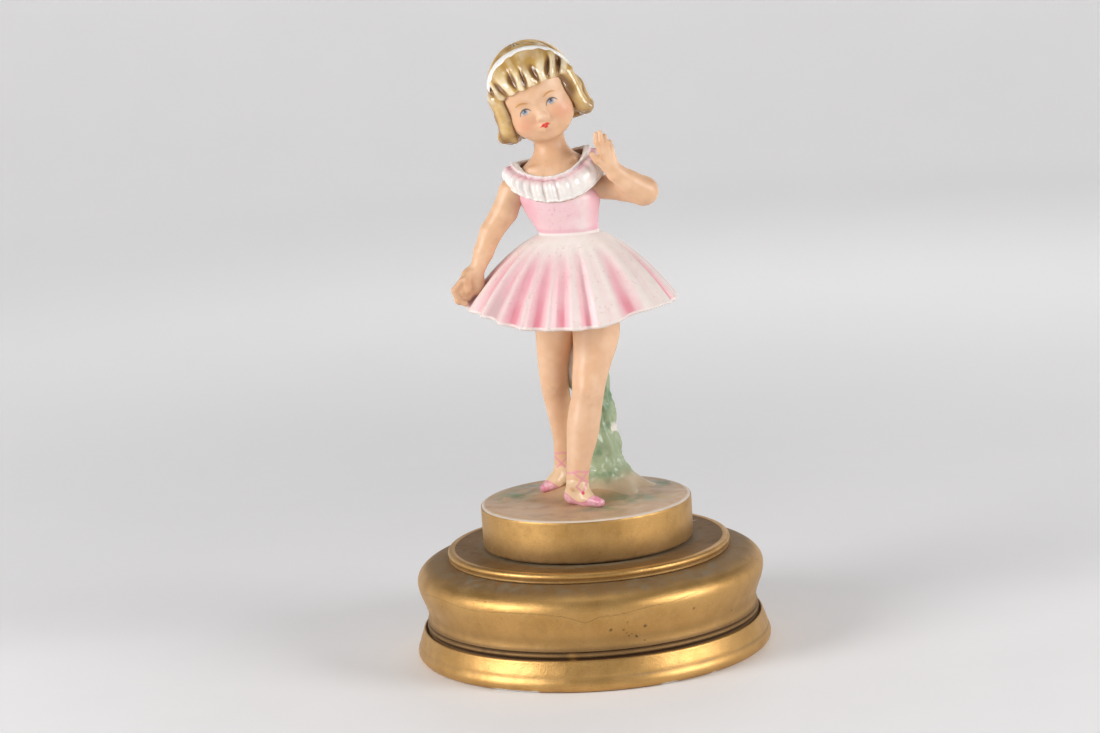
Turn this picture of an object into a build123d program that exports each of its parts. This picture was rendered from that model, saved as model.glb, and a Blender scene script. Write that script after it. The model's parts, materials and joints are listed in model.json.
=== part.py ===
"""A revolving musical figurine: a porcelain dancer on a gilt drum that turns on a gilt turned-wood base.

Millimetres. The origin is on the turning axis at the level that the base stands on, +Z is up, and the dancer
faces -Y, so her own right hand is on -X. The base holds a spring-driven comb movement, wound by the key below.
"""

import math
import os

from build123d import *

os.makedirs("parts", exist_ok=True)

# ---- driving dimensions ----
FOOT_R = 62.8  # widest bead of the foot moulding
FOOT_TOP = 13.3
RECESS_R = 55.0  # open recess under the base, where the key is
PLATE_Z = 10.3  # underside of the bottom plate
PLATE_T = FOOT_TOP - PLATE_Z
CAVITY_R = 49.5
CAVITY_TOP = 33.0
LIP_R = 45.1  # opening in the shell's shoulder, closed by the step's spigot
SHELL_TOP = 34.6
ROOF_Z = 34.0  # underside of the step's spigot
STEP_R = 50.0
STEP_TOP = 38.2
DISH_Z = 37.9  # floor of the shallow dish that the drum turns in
DRUM_R = 37.2
DRUM_Z = 38.3
DRUM_TOP = 53.5
DRUM_BORE_R = 32.0
REBATE_R = 33.0
DISC_Z = 39.3
DISC_T = 2.0

BED_Z = FOOT_TOP
BED_T = 2.5
BED_TOP = BED_Z + BED_T
SPINDLE_R = 2.0
ARBOR_R = 2.5
RUN = 0.05  # radial running clearance
BARREL_R = 14.5
BARREL_WALL = 0.8
BARREL_Z = 17.8
BARREL_TOP = 30.3
COVER_T = 1.2
BRIDGE_Z = 32.0
BRIDGE_T = 1.0
PILLAR_RING_R = 21.5

# Gear train: the crown ring on the barrel drives the cylinder, which drives the governor wheel and the fly.
CROWN_TEETH, CYLINDER_PINION_TEETH = 60, 15
GREAT_TEETH, GOVERNOR_PINION_TEETH = 38, 8
WORM_WHEEL_TEETH = 20
CROWN_MEAN_R = 17.75
CROWN_FACE = 2.0
CROWN_FLANGE_T = 1.2
CROWN_TOOTH_H = 1.6
CROWN_PITCH_Z = 20.0
CYLINDER_PINION_R = CROWN_MEAN_R * CYLINDER_PINION_TEETH / CROWN_TEETH
CYLINDER_Z = CROWN_PITCH_Z + CYLINDER_PINION_R
CYLINDER_R = 6.0
PIN_TIP_R = 6.9
PIN_R = 0.25
NOTES = 18
NOTE_PITCH = 0.85
CYLINDER_X = 22.3
CYLINDER_LENGTH = NOTES * NOTE_PITCH
FINE_MODULE = 0.4
GREAT_R = FINE_MODULE * GREAT_TEETH / 2
GOVERNOR_PINION_R = FINE_MODULE * GOVERNOR_PINION_TEETH / 2
GOVERNOR_Y = 9.0
GOVERNOR_Z = CYLINDER_Z + math.sqrt((GREAT_R + GOVERNOR_PINION_R) ** 2 - GOVERNOR_Y**2)
WORM_MODULE = 0.5
WORM_WHEEL_R = WORM_MODULE * WORM_WHEEL_TEETH / 2
WORM_R = 1.5
WORM_X = 41.2
WORM_Y = GOVERNOR_Y + WORM_WHEEL_R + WORM_R
WORM_PITCH = math.pi * WORM_MODULE

UPWARDS = (Align.CENTER, Align.CENTER, Align.MIN)  # a solid that stands on its plane


def save(builder, name):
    """Labels a finished piece and writes it as one STEP file."""
    piece = builder.part
    piece.label = name
    export_step(piece, f"parts/{name}.step")
    return piece


# ---- turned gilt base ----
with BuildPart() as foot_ring:
    with BuildSketch(Plane.XZ):
        with BuildLine():
            Polyline((RECESS_R, FOOT_TOP), (RECESS_R, 0), (61.3, 0))
            ThreePointArc((61.3, 0), (FOOT_R, 2.5), (62.0, 4.7))
            Line((62.0, 4.7), (61.6, 5.0))
            ThreePointArc((61.6, 5.0), (60.7, 7.8), (60.2, 10.8))
            ThreePointArc((60.2, 10.8), (59.9, 11.1), (59.6, 10.9))
            Polyline((59.6, 10.9), (59.4, 10.1), (58.5, 10.1))
            ThreePointArc((58.5, 10.1), (59.0, 11.6), (58.1, 12.9))
            Polyline((58.1, 12.9), (57.9, FOOT_TOP), (RECESS_R, FOOT_TOP))
        make_face()
    revolve(axis=Axis.Z)
save(foot_ring, "foot_ring")

SHELL_SCREW_R = 51.8
SHELL_SCREWS = 4
WOOD_SCREW_R = 1.3
SCREW_DEPTH = 7.5

with BuildPart() as body_shell:
    with BuildSketch(Plane.XZ):
        with BuildLine():
            Polyline((CAVITY_R, CAVITY_TOP), (CAVITY_R, FOOT_TOP), (58.5, FOOT_TOP))
            Spline((58.5, FOOT_TOP), (58.2, 16.6), (59.7, 20.8), (61.1, 25.6), (60.9, 29.2), (59.4, 31.6),
                   (56.6, 33.3), (51.5, SHELL_TOP), tangents=((-0.3, 1), (-1, 0.05)))
            Polyline((51.5, SHELL_TOP), (LIP_R, SHELL_TOP), (LIP_R, CAVITY_TOP), (CAVITY_R, CAVITY_TOP))
        make_face()
    revolve(axis=Axis.Z)
    with Locations(Plane.XY.offset(FOOT_TOP)):
        with PolarLocations(SHELL_SCREW_R, SHELL_SCREWS, start_angle=45):
            Cylinder(WOOD_SCREW_R, SCREW_DEPTH, align=UPWARDS, mode=Mode.SUBTRACT)
save(body_shell, "body_shell")

BUSH_R = 4.5
with BuildPart() as top_step:
    with BuildSketch(Plane.XZ):
        with BuildLine():
            Polyline((BUSH_R, DISH_Z), (BUSH_R, ROOF_Z), (LIP_R - 0.1, ROOF_Z), (LIP_R - 0.1, SHELL_TOP),
                     (49.3, SHELL_TOP))
            ThreePointArc((49.3, SHELL_TOP), (49.85, 35.05), (49.4, 35.5))
            ThreePointArc((49.4, 35.5), (STEP_R, 36.9), (49.0, STEP_TOP))
            Spline((49.0, STEP_TOP), (47.0, 38.07), (44.0, DISH_Z), tangents=((-1, 0), (-1, 0)))
            Line((44.0, DISH_Z), (BUSH_R, DISH_Z))
        make_face()
    revolve(axis=Axis.Z)
save(top_step, "top_step")

# ---- bottom plate and its screws ----
MOVEMENT_SCREWS = [(-20.0, -16.5), (-20.0, 14.5), (38.0, -16.0)]
MACHINE_SCREW_R = 1.2
HEAD_R = 2.5

with BuildPart() as bottom_plate:
    with BuildSketch(Plane.XY.offset(PLATE_Z)):
        Circle(RECESS_R - 0.3)
        Circle(ARBOR_R + 0.6, mode=Mode.SUBTRACT)
        with PolarLocations(SHELL_SCREW_R, SHELL_SCREWS, start_angle=45):
            Circle(WOOD_SCREW_R, mode=Mode.SUBTRACT)
        with Locations(*MOVEMENT_SCREWS):
            Circle(MACHINE_SCREW_R, mode=Mode.SUBTRACT)
    extrude(amount=PLATE_T)
    with Locations(Plane.XY.offset(PLATE_Z)):
        with PolarLocations(SHELL_SCREW_R, SHELL_SCREWS, start_angle=45):
            Cone(HEAD_R, WOOD_SCREW_R, HEAD_R - WOOD_SCREW_R, align=UPWARDS, mode=Mode.SUBTRACT)
        with Locations(*MOVEMENT_SCREWS):
            Cone(HEAD_R, MACHINE_SCREW_R, HEAD_R - MACHINE_SCREW_R, align=UPWARDS, mode=Mode.SUBTRACT)
save(bottom_plate, "bottom_plate")


def countersunk_screws(places, radius, length, name):
    """Flat-headed screws driven upwards from the plate's underside, with a straight slot in each head."""
    head_h = HEAD_R - radius
    with BuildPart() as screws:
        with Locations(*[(x, y, PLATE_Z) for x, y in places]):
            Cone(HEAD_R - 0.02, radius - 0.02, head_h, align=UPWARDS)
            Cylinder(radius - 0.02, length, align=UPWARDS)
        with Locations(*[(x, y, PLATE_Z + 0.3) for x, y in places]):
            Box(2 * HEAD_R + 0.2, 0.6, 0.6, mode=Mode.SUBTRACT)
    return save(screws, name)


corner = SHELL_SCREW_R / math.sqrt(2)
countersunk_screws([(corner, corner), (-corner, corner), (-corner, -corner), (corner, -corner)],
                   WOOD_SCREW_R, PLATE_T + 6.5, "bottom_plate_screws")
countersunk_screws(MOVEMENT_SCREWS, MACHINE_SCREW_R, PLATE_T + BED_T - 0.3, "movement_screws")

# ---- movement: bedplate, bridge and bearings ----
COMB_Y = -PIN_TIP_R - 0.15  # tooth tips, just clear of the pins
COMB_BLOCK = (17.2, 7.5)
COMB_BLOCK_X = CYLINDER_X + CYLINDER_LENGTH / 2
COMB_BLOCK_Y = -17.25
COMB_Z = CYLINDER_Z - 0.3
COMB_T = 1.0
INNER_POST_X = 20.2
OUTER_POST_X = 43.2
POST_T = 1.1
POST_HOLE_R = 1.0 + RUN
ARBOR_THIN_R = 1.0
FLY_SHAFT_R = 0.5
CLICK_PIVOT = (-12.0, 8.0)

with BuildPart() as bedplate:
    with BuildSketch(Plane.XY.offset(BED_Z)):
        with Locations((10.0, 0.0)):
            RectangleRounded(69.0, 42.0, 4.0)
        Circle(ARBOR_R + RUN, mode=Mode.SUBTRACT)
        with Locations(*MOVEMENT_SCREWS):
            Circle(MACHINE_SCREW_R, mode=Mode.SUBTRACT)
        with Locations((WORM_X, WORM_Y)):
            Circle(FLY_SHAFT_R + RUN, mode=Mode.SUBTRACT)
        with Locations(CLICK_PIVOT):
            Circle(0.9, mode=Mode.SUBTRACT)
    extrude(amount=BED_T)
save(bedplate, "bedplate")

with BuildPart() as bridge_pillars:
    with BuildSketch(Plane.XY.offset(BED_TOP)):
        with PolarLocations(PILLAR_RING_R, 3, start_angle=60):
            Circle(2.0)
    extrude(amount=BRIDGE_Z - BED_TOP)
    with BuildSketch(Plane.XY.offset(BRIDGE_Z - 4)):
        with PolarLocations(PILLAR_RING_R, 3, start_angle=60):
            Circle(0.8)
    extrude(amount=4, mode=Mode.SUBTRACT)
save(bridge_pillars, "bridge_pillars")

with BuildPart() as barrel_bridge:
    with BuildSketch(Plane.XY.offset(BRIDGE_Z)):
        Circle(7.0)
        with PolarLocations(PILLAR_RING_R, 3, start_angle=60):
            Circle(3.2)
        with PolarLocations(PILLAR_RING_R / 2, 3, start_angle=60):
            Rectangle(PILLAR_RING_R, 5.0)
        with PolarLocations(PILLAR_RING_R, 3, start_angle=60):
            Circle(0.8, mode=Mode.SUBTRACT)
        Circle(SPINDLE_R + RUN, mode=Mode.SUBTRACT)
    extrude(amount=BRIDGE_T)
save(barrel_bridge, "barrel_bridge")


def pan_head_screws(builder_plane, places, shank_r, shank, head_r, head_h, name):
    """Slotted round-headed screws, heads above the plane and shanks below it."""
    with BuildPart() as screws:
        with BuildSketch(builder_plane):
            with Locations(*places):
                Circle(head_r)
        extrude(amount=head_h)
        with BuildSketch(builder_plane):
            with Locations(*places):
                Circle(shank_r)
        extrude(amount=-shank)
        with BuildSketch(builder_plane.offset(head_h)):
            with Locations(*places):
                Rectangle(2 * head_r + 0.2, 0.4)
        extrude(amount=-head_h / 2, mode=Mode.SUBTRACT)
    return save(screws, name)


pillar_places = [(PILLAR_RING_R * math.cos(math.radians(a)), PILLAR_RING_R * math.sin(math.radians(a)))
                 for a in (60, 180, 300)]
pan_head_screws(Plane.XY.offset(BRIDGE_Z + BRIDGE_T), pillar_places, 0.78, 4.0, 1.7, 0.8, "bridge_screws")

with BuildPart() as inner_bearing:
    with BuildSketch(Plane.YZ.offset(INNER_POST_X)):
        with BuildLine():
            Polyline((-3, CYLINDER_Z), (-3, BED_TOP), (3, BED_TOP), (3, CYLINDER_Z))
            ThreePointArc((3, CYLINDER_Z), (0, CYLINDER_Z + 3), (-3, CYLINDER_Z))
        make_face()
        with Locations((0, CYLINDER_Z)):
            Circle(POST_HOLE_R, mode=Mode.SUBTRACT)
    extrude(amount=POST_T)
save(inner_bearing, "inner_bearing")

with BuildPart() as outer_bearing:
    with BuildSketch(Plane.YZ.offset(OUTER_POST_X)):
        with Locations((4.0, (BED_TOP + 29.0) / 2)):
            RectangleRounded(14.0, 29.0 - BED_TOP, 1.5)
        with Locations((4.0, BED_TOP + 1)):
            Rectangle(14.0, 2)
        with Locations((0, CYLINDER_Z), (GOVERNOR_Y, GOVERNOR_Z)):
            Circle(POST_HOLE_R, mode=Mode.SUBTRACT)
    extrude(amount=POST_T)
save(outer_bearing, "outer_bearing")

GOVERNOR_POST_X = 37.9
with BuildPart() as governor_bearing:
    with BuildSketch(Plane.YZ.offset(GOVERNOR_POST_X - 0.7)):
        with Locations((GOVERNOR_Y, (BED_TOP + GOVERNOR_Z + 1.6) / 2)):
            Rectangle(3.4, GOVERNOR_Z + 1.6 - BED_TOP)
        with Locations((GOVERNOR_Y, GOVERNOR_Z)):
            Circle(POST_HOLE_R, mode=Mode.SUBTRACT)
    extrude(amount=0.7)
save(governor_bearing, "governor_bearing")

FLY_ARM_Z = 31.4
with BuildPart() as governor_bracket:
    with BuildSketch(Plane.XY.offset(BED_TOP)):
        with Locations((35.6, WORM_Y + 1)):
            Rectangle(1.8, 3.0)
    extrude(amount=FLY_ARM_Z - BED_TOP)
    with BuildSketch(Plane.XY.offset(FLY_ARM_Z)):
        with Locations(((34.7 + WORM_X + 1.5) / 2, WORM_Y + 0.5)):
            Rectangle(WORM_X + 1.5 - 34.7, 4.0)
        with Locations((WORM_X, WORM_Y)):
            Circle(FLY_SHAFT_R + RUN, mode=Mode.SUBTRACT)
    extrude(amount=1.2)
save(governor_bracket, "governor_bracket")

# ---- tone comb on its block ----
COMB_SCREW_X = (COMB_BLOCK_X - 5.5, COMB_BLOCK_X + 5.5)
with BuildPart() as comb_block:
    with BuildSketch(Plane.XY.offset(BED_TOP)):
        with Locations((COMB_BLOCK_X, COMB_BLOCK_Y)):
            Rectangle(*COMB_BLOCK)
        with Locations(*[(x, COMB_BLOCK_Y) for x in COMB_SCREW_X]):
            Circle(0.8, mode=Mode.SUBTRACT)
    extrude(amount=COMB_Z - BED_TOP)
save(comb_block, "comb_block")

with BuildPart() as tone_comb:
    comb_back = COMB_BLOCK_Y + COMB_BLOCK[1] / 2
    with BuildSketch(Plane.XY.offset(COMB_Z)):
        with Locations((COMB_BLOCK_X, COMB_BLOCK_Y)):
            Rectangle(*COMB_BLOCK)
        tooth_gaps = [(CYLINDER_X + (i + 0.5) * NOTE_PITCH, (comb_back + COMB_Y) / 2) for i in range(NOTES)]
        with Locations(*tooth_gaps):
            Rectangle(0.6, COMB_Y - comb_back)
        with Locations(*[(x, COMB_BLOCK_Y) for x in COMB_SCREW_X]):
            Circle(0.8, mode=Mode.SUBTRACT)
    extrude(amount=COMB_T)
    with BuildSketch(Plane.YZ.offset(CYLINDER_X - 2)):
        with BuildLine():
            Polyline((COMB_Y + 1, COMB_Z + 0.55), (COMB_Y + 1, COMB_Z + 2), (comb_back + 0.5, COMB_Z + 2),
                     (comb_back + 0.5, COMB_Z + 0.95), close=True)
        make_face()
    extrude(amount=CYLINDER_LENGTH + 4, mode=Mode.SUBTRACT)
save(tone_comb, "tone_comb")
pan_head_screws(Plane.XY.offset(COMB_Z + COMB_T), [(x, COMB_BLOCK_Y) for x in COMB_SCREW_X],
                0.78, 5.0, 1.6, 0.9, "comb_screws")

# ---- click that holds the winding wheel ----
RATCHET_Z, RATCHET_T = 16.1, 1.2
RATCHET_TEETH, RATCHET_TIP_R, RATCHET_ROOT_R = 18, 7.0, 5.9
with BuildPart() as click:
    with BuildSketch(Plane.XY.offset(RATCHET_Z)):
        with Locations(CLICK_PIVOT):
            Circle(2.2)
        with BuildLine():
            Polyline((-12.6, 9.8), (-6.2, 5.3), (-5.1, 5.05), (-5.9, 4.3), (-13.4, 6.4), close=True)
        make_face()
        with Locations(CLICK_PIVOT):
            Circle(0.9 + RUN, mode=Mode.SUBTRACT)
    extrude(amount=RATCHET_T)
save(click, "click")
pan_head_screws(Plane.XY.offset(RATCHET_Z + RATCHET_T + 0.05), [CLICK_PIVOT], 0.88, 3.0, 1.6, 0.35, "click_screw")

with BuildPart() as click_spring:
    with BuildSketch(Plane.XY.offset(BED_TOP)):
        with BuildLine():
            FilletPolyline((-20.5, 8.5), (-20.5, 12.5), (-13.0, 12.3), (-9.5, 9.2), radius=1.2)
            offset(amount=0.2, side=Side.BOTH, kind=Kind.ARC)
        make_face()
    extrude(amount=1.3)
save(click_spring, "click_spring")

# ---- winding arbor, ratchet and key ----
CORE_R = 3.6
ARBOR_TOP = 31.1
KEY_Z, KEY_HUB_R, KEY_HUB_TOP = 1.6, 4.0, 9.9
with BuildPart() as winding_arbor:
    with BuildSketch(Plane.XZ):
        with BuildLine():
            Polyline((0, KEY_Z + 2), (ARBOR_R, KEY_Z + 2), (ARBOR_R, 18.9), (CORE_R, 18.9), (CORE_R, 30.0),
                     (1.5, 30.0), (1.5, ARBOR_TOP), (0, ARBOR_TOP), close=True)
        make_face()
    revolve(axis=Axis.Z)
save(winding_arbor, "winding_arbor")

with BuildPart() as ratchet_wheel:
    with BuildSketch(Plane.XY.offset(RATCHET_Z)):
        Circle(RATCHET_ROOT_R)
        with PolarLocations(0, RATCHET_TEETH):
            with BuildLine():
                step = 2 * math.pi / RATCHET_TEETH
                Polyline((RATCHET_ROOT_R - 0.6, 0), (RATCHET_TIP_R, 0),
                         ((RATCHET_ROOT_R - 0.1) * math.cos(step), (RATCHET_ROOT_R - 0.1) * math.sin(step)),
                         close=True)
            make_face()
        Circle(ARBOR_R, mode=Mode.SUBTRACT)
    extrude(amount=RATCHET_T)
save(ratchet_wheel, "ratchet_wheel")

WING_REACH, WING_T = 14.0, 2.2
with BuildPart() as winding_key:
    with BuildSketch(Plane.XZ.offset(-WING_T / 2)):
        for side in (-1, 1):
            with BuildLine():
                Spline((side * 2.0, 3.4), (side * 7.0, KEY_Z + 0.5), (side * 11.5, KEY_Z), (side * WING_REACH, 5.2),
                       (side * 11.5, 8.9), (side * 7.0, 8.2), (side * 2.0, 7.6))
                Line((side * 2.0, 7.6), (side * 2.0, 3.4))
            make_face()
            with Locations((side * 9.6, 5.1)):
                Ellipse(2.2, 1.5, mode=Mode.SUBTRACT)
    extrude(amount=WING_T)
    with BuildSketch(Plane.XY.offset(KEY_Z + 0.6)):
        Circle(KEY_HUB_R)
    extrude(amount=KEY_HUB_TOP - KEY_Z - 0.6)
    with BuildSketch(Plane.XY.offset(KEY_Z + 2)):
        Circle(ARBOR_R)
    extrude(amount=KEY_HUB_TOP, mode=Mode.SUBTRACT)
save(winding_key, "winding_key")

# ---- spring barrel and the spindle that it turns ----
with BuildPart() as spring_barrel:
    with BuildSketch(Plane.XY.offset(BARREL_Z)):
        Circle(BARREL_R)
        Circle(ARBOR_R + RUN, mode=Mode.SUBTRACT)
    extrude(amount=BARREL_WALL)
    with BuildSketch(Plane.XY.offset(BARREL_Z)):
        Circle(BARREL_R)
        Circle(BARREL_R - BARREL_WALL, mode=Mode.SUBTRACT)
    extrude(amount=BARREL_TOP - BARREL_Z)
save(spring_barrel, "spring_barrel")

with BuildPart() as barrel_cover:
    with BuildSketch(Plane.XY.offset(BARREL_TOP)):
        Circle(BARREL_R)
        Circle(1.5 + RUN, mode=Mode.SUBTRACT)
    extrude(amount=COVER_T)
save(barrel_cover, "barrel_cover")

SPRING_TURNS, SPRING_T, SPRING_START_R, SPRING_STEP = 6, 0.35, 4.6, 0.66
with BuildPart() as mainspring:
    with BuildSketch(Plane.XY.offset(19.1)):
        # each half turn is a half circle whose centre steps from side to side, so the coil grows by one step
        with BuildLine():
            for half in range(2 * SPRING_TURNS):
                r = SPRING_START_R + half * SPRING_STEP
                side = 1 if half % 2 == 0 else -1
                centre = -side * SPRING_STEP / 2
                ThreePointArc((centre + side * r, 0), (centre, side * r), (centre - side * r, 0))
            offset(amount=SPRING_T / 2, side=Side.BOTH, kind=Kind.ARC)
        make_face()
    extrude(amount=10.6)
save(mainspring, "mainspring")

CROWN_IN = CROWN_MEAN_R - CROWN_FACE / 2
CROWN_OUT = CROWN_MEAN_R + CROWN_FACE / 2
FLANGE_TOP = BARREL_Z + CROWN_FLANGE_T
with BuildPart() as crown_gear:
    with BuildSketch(Plane.XY.offset(BARREL_Z)):
        Circle(CROWN_OUT + 0.25)
        Circle(BARREL_R, mode=Mode.SUBTRACT)
    extrude(amount=CROWN_FLANGE_T)
    with BuildSketch(Plane.YZ.offset(CROWN_IN)):
        with BuildLine():
            Polyline((-0.4, FLANGE_TOP - 0.3), (-0.4, FLANGE_TOP), (-0.18, FLANGE_TOP + CROWN_TOOTH_H),
                     (0.18, FLANGE_TOP + CROWN_TOOTH_H), (0.4, FLANGE_TOP), (0.4, FLANGE_TOP - 0.3),
                     close=True)
        make_face()
    tooth = extrude(amount=CROWN_FACE, mode=Mode.PRIVATE)
    half_gap = 180 / CROWN_TEETH
    add([tooth.rotate(Axis.Z, half_gap + i * 360 / CROWN_TEETH) for i in range(CROWN_TEETH)])
save(crown_gear, "crown_gear")

HUB_Z = DISC_Z + DISC_T
with BuildPart() as output_spindle:
    with BuildSketch(Plane.XY.offset(BARREL_TOP + COVER_T)):
        Circle(SPINDLE_R)
    extrude(amount=HUB_Z + 3.6 - BARREL_TOP - COVER_T)
save(output_spindle, "output_spindle")

with BuildPart() as spindle_bush:
    with BuildSketch(Plane.XY.offset(ROOF_Z - 0.7)):
        Circle(7.0)
        Circle(SPINDLE_R + RUN, mode=Mode.SUBTRACT)
    extrude(amount=0.7)
    with BuildSketch(Plane.XY.offset(ROOF_Z)):
        Circle(BUSH_R)
        Circle(SPINDLE_R + RUN, mode=Mode.SUBTRACT)
    extrude(amount=DISH_Z - ROOF_Z)
save(spindle_bush, "spindle_bush")

with BuildPart() as thrust_washer:
    with BuildSketch(Plane.XY.offset(DISH_Z)):
        Circle(10.0)
        Circle(SPINDLE_R + 0.15, mode=Mode.SUBTRACT)
    extrude(amount=DISC_Z - DISH_Z - RUN)
save(thrust_washer, "thrust_washer")

with BuildPart() as turntable_disc:
    with BuildSketch(Plane.XY.offset(DISC_Z)):
        Circle(REBATE_R - 0.1)
        Circle(SPINDLE_R, mode=Mode.SUBTRACT)
    extrude(amount=DISC_T)
save(turntable_disc, "turntable_disc")

with BuildPart() as turntable_hub:
    with BuildSketch(Plane.XY.offset(HUB_Z)):
        Circle(9.0)
        Circle(SPINDLE_R, mode=Mode.SUBTRACT)
    extrude(amount=1.0)
    with BuildSketch(Plane.XY.offset(HUB_Z)):
        Circle(4.6)
        Circle(SPINDLE_R, mode=Mode.SUBTRACT)
    extrude(amount=4.2)
    with BuildSketch(Plane.XZ.offset(2.0)):
        with Locations((0, HUB_Z + 2.6)):
            Circle(0.9)
    extrude(amount=3.0, mode=Mode.SUBTRACT)
save(turntable_hub, "turntable_hub")

with BuildPart() as hub_set_screw:
    with BuildSketch(Plane.XZ.offset(SPINDLE_R + 0.1)):
        with Locations((0, HUB_Z + 2.6)):
            Circle(0.88)
    extrude(amount=2.4)
save(hub_set_screw, "hub_set_screw")


# ---- cylinder, governor wheel and fly ----
def spur(teeth, root_r, tip_r, root_w, tip_w, x, y, z, tooth_angle):
    """The face of a wheel on an axis along X: trapezoid teeth, one of them at tooth_angle in the YZ plane."""
    corners = []
    for i in range(teeth):
        middle = math.radians(tooth_angle + i * 360 / teeth)
        for r, side in ((root_r, -root_w), (tip_r, -tip_w), (tip_r, tip_w), (root_r, root_w)):
            angle = middle + math.asin(side / 2 / r)
            corners.append((r * math.cos(angle), r * math.sin(angle)))
    with BuildSketch(Plane(origin=(x, y, z), x_dir=(0, 1, 0), z_dir=(1, 0, 0))) as face:
        with BuildLine():
            Polyline(*corners, close=True)
        make_face()
    return face.sketch


def disc_x(radius, x, y, z):
    """A round face on an axis along X, to be extruded into a shaft."""
    with BuildSketch(Plane(origin=(x, y, z), x_dir=(0, 1, 0), z_dir=(1, 0, 0))) as face:
        Circle(radius)
    return face.sketch


GREAT_X = CYLINDER_X + CYLINDER_LENGTH + 1.0
with BuildPart() as pinned_cylinder:
    with BuildSketch(Plane.YZ.offset(CYLINDER_X)):
        with Locations((0, CYLINDER_Z)):
            Circle(CYLINDER_R)
            Circle(CYLINDER_R - 0.7, mode=Mode.SUBTRACT)
    extrude(amount=CYLINDER_LENGTH)
    axis_y = Plane(origin=(0, 0, CYLINDER_Z), x_dir=(0, 1, 0), z_dir=(1, 0, 0))
    for note in range(NOTES):
        pins = 2 + note % 3
        for k in range(pins):
            angle = (note * 137.5 + k * 360 / pins + 17 * (note % 4)) % 360
            x = CYLINDER_X + (note + 0.5) * NOTE_PITCH
            out = Vector(0, math.cos(math.radians(angle)), math.sin(math.radians(angle)))
            start = Vector(x, 0, CYLINDER_Z) + out * (CYLINDER_R - 0.3)
            with BuildSketch(Plane(origin=start, x_dir=(1, 0, 0), z_dir=out)):
                Circle(PIN_R)
            extrude(amount=PIN_TIP_R - CYLINDER_R + 0.3)
save(pinned_cylinder, "pinned_cylinder")

with BuildPart() as cylinder_arbor:
    extrude(disc_x(ARBOR_THIN_R, 16.3, 0, CYLINDER_Z), amount=OUTER_POST_X + POST_T + 0.3 - 16.3)
    extrude(disc_x(2.2, 18.9, 0, CYLINDER_Z), amount=INNER_POST_X - 0.1 - 18.9)
    extrude(disc_x(CYLINDER_R - 0.72, CYLINDER_X, 0, CYLINDER_Z), amount=1.0)
    extrude(disc_x(CYLINDER_R - 0.72, CYLINDER_X + CYLINDER_LENGTH - 1.0, 0, CYLINDER_Z), amount=1.0)
save(cylinder_arbor, "cylinder_arbor")

with BuildPart() as cylinder_pinion:
    extrude(spur(CYLINDER_PINION_TEETH, 3.5, 4.95, 0.85, 0.4, CROWN_IN, 0, CYLINDER_Z, -90), amount=2.1)
    with BuildSketch(Plane.YZ.offset(CROWN_IN)):
        with Locations((0, CYLINDER_Z)):
            Circle(ARBOR_THIN_R)
    extrude(amount=2.1, mode=Mode.SUBTRACT)
save(cylinder_pinion, "cylinder_pinion")

mesh_angle = math.degrees(math.atan2(GOVERNOR_Z - CYLINDER_Z, GOVERNOR_Y))
with BuildPart() as great_wheel:
    extrude(spur(GREAT_TEETH, 7.05, 7.95, 0.55, 0.3, GREAT_X, 0, CYLINDER_Z, mesh_angle), amount=1.0)
    with BuildSketch(Plane.YZ.offset(GREAT_X)):
        with Locations((0, CYLINDER_Z)):
            Circle(ARBOR_THIN_R)
            with PolarLocations(4.2, 5):
                Circle(1.5)
    extrude(amount=1.0, mode=Mode.SUBTRACT)
save(great_wheel, "great_wheel")

with BuildPart() as governor_pinion:
    half_tooth = 180 / GOVERNOR_PINION_TEETH
    pinion_face = spur(GOVERNOR_PINION_TEETH, 1.1, 2.0, 0.45, 0.28, GREAT_X - 0.2, GOVERNOR_Y, GOVERNOR_Z,
                       mesh_angle + 180 + half_tooth)
    extrude(pinion_face, amount=1.4)
    shaft_start = GOVERNOR_POST_X - 0.9
    shaft_end = OUTER_POST_X + POST_T + 0.3
    extrude(disc_x(ARBOR_THIN_R, shaft_start, GOVERNOR_Y, GOVERNOR_Z), amount=shaft_end - shaft_start)
save(governor_pinion, "governor_pinion")

WHEEL_T = 1.6
with BuildPart() as worm_wheel:
    wheel_face = spur(WORM_WHEEL_TEETH, 4.4, 5.35, 0.7, 0.35, WORM_X - WHEEL_T / 2, GOVERNOR_Y, GOVERNOR_Z, 0)
    extrude(wheel_face, amount=WHEEL_T)
    with BuildSketch(Plane.YZ.offset(WORM_X - WHEEL_T / 2)):
        with Locations((GOVERNOR_Y, GOVERNOR_Z)):
            Circle(ARBOR_THIN_R)
    extrude(amount=WHEEL_T, mode=Mode.SUBTRACT)
save(worm_wheel, "worm_wheel")

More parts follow.
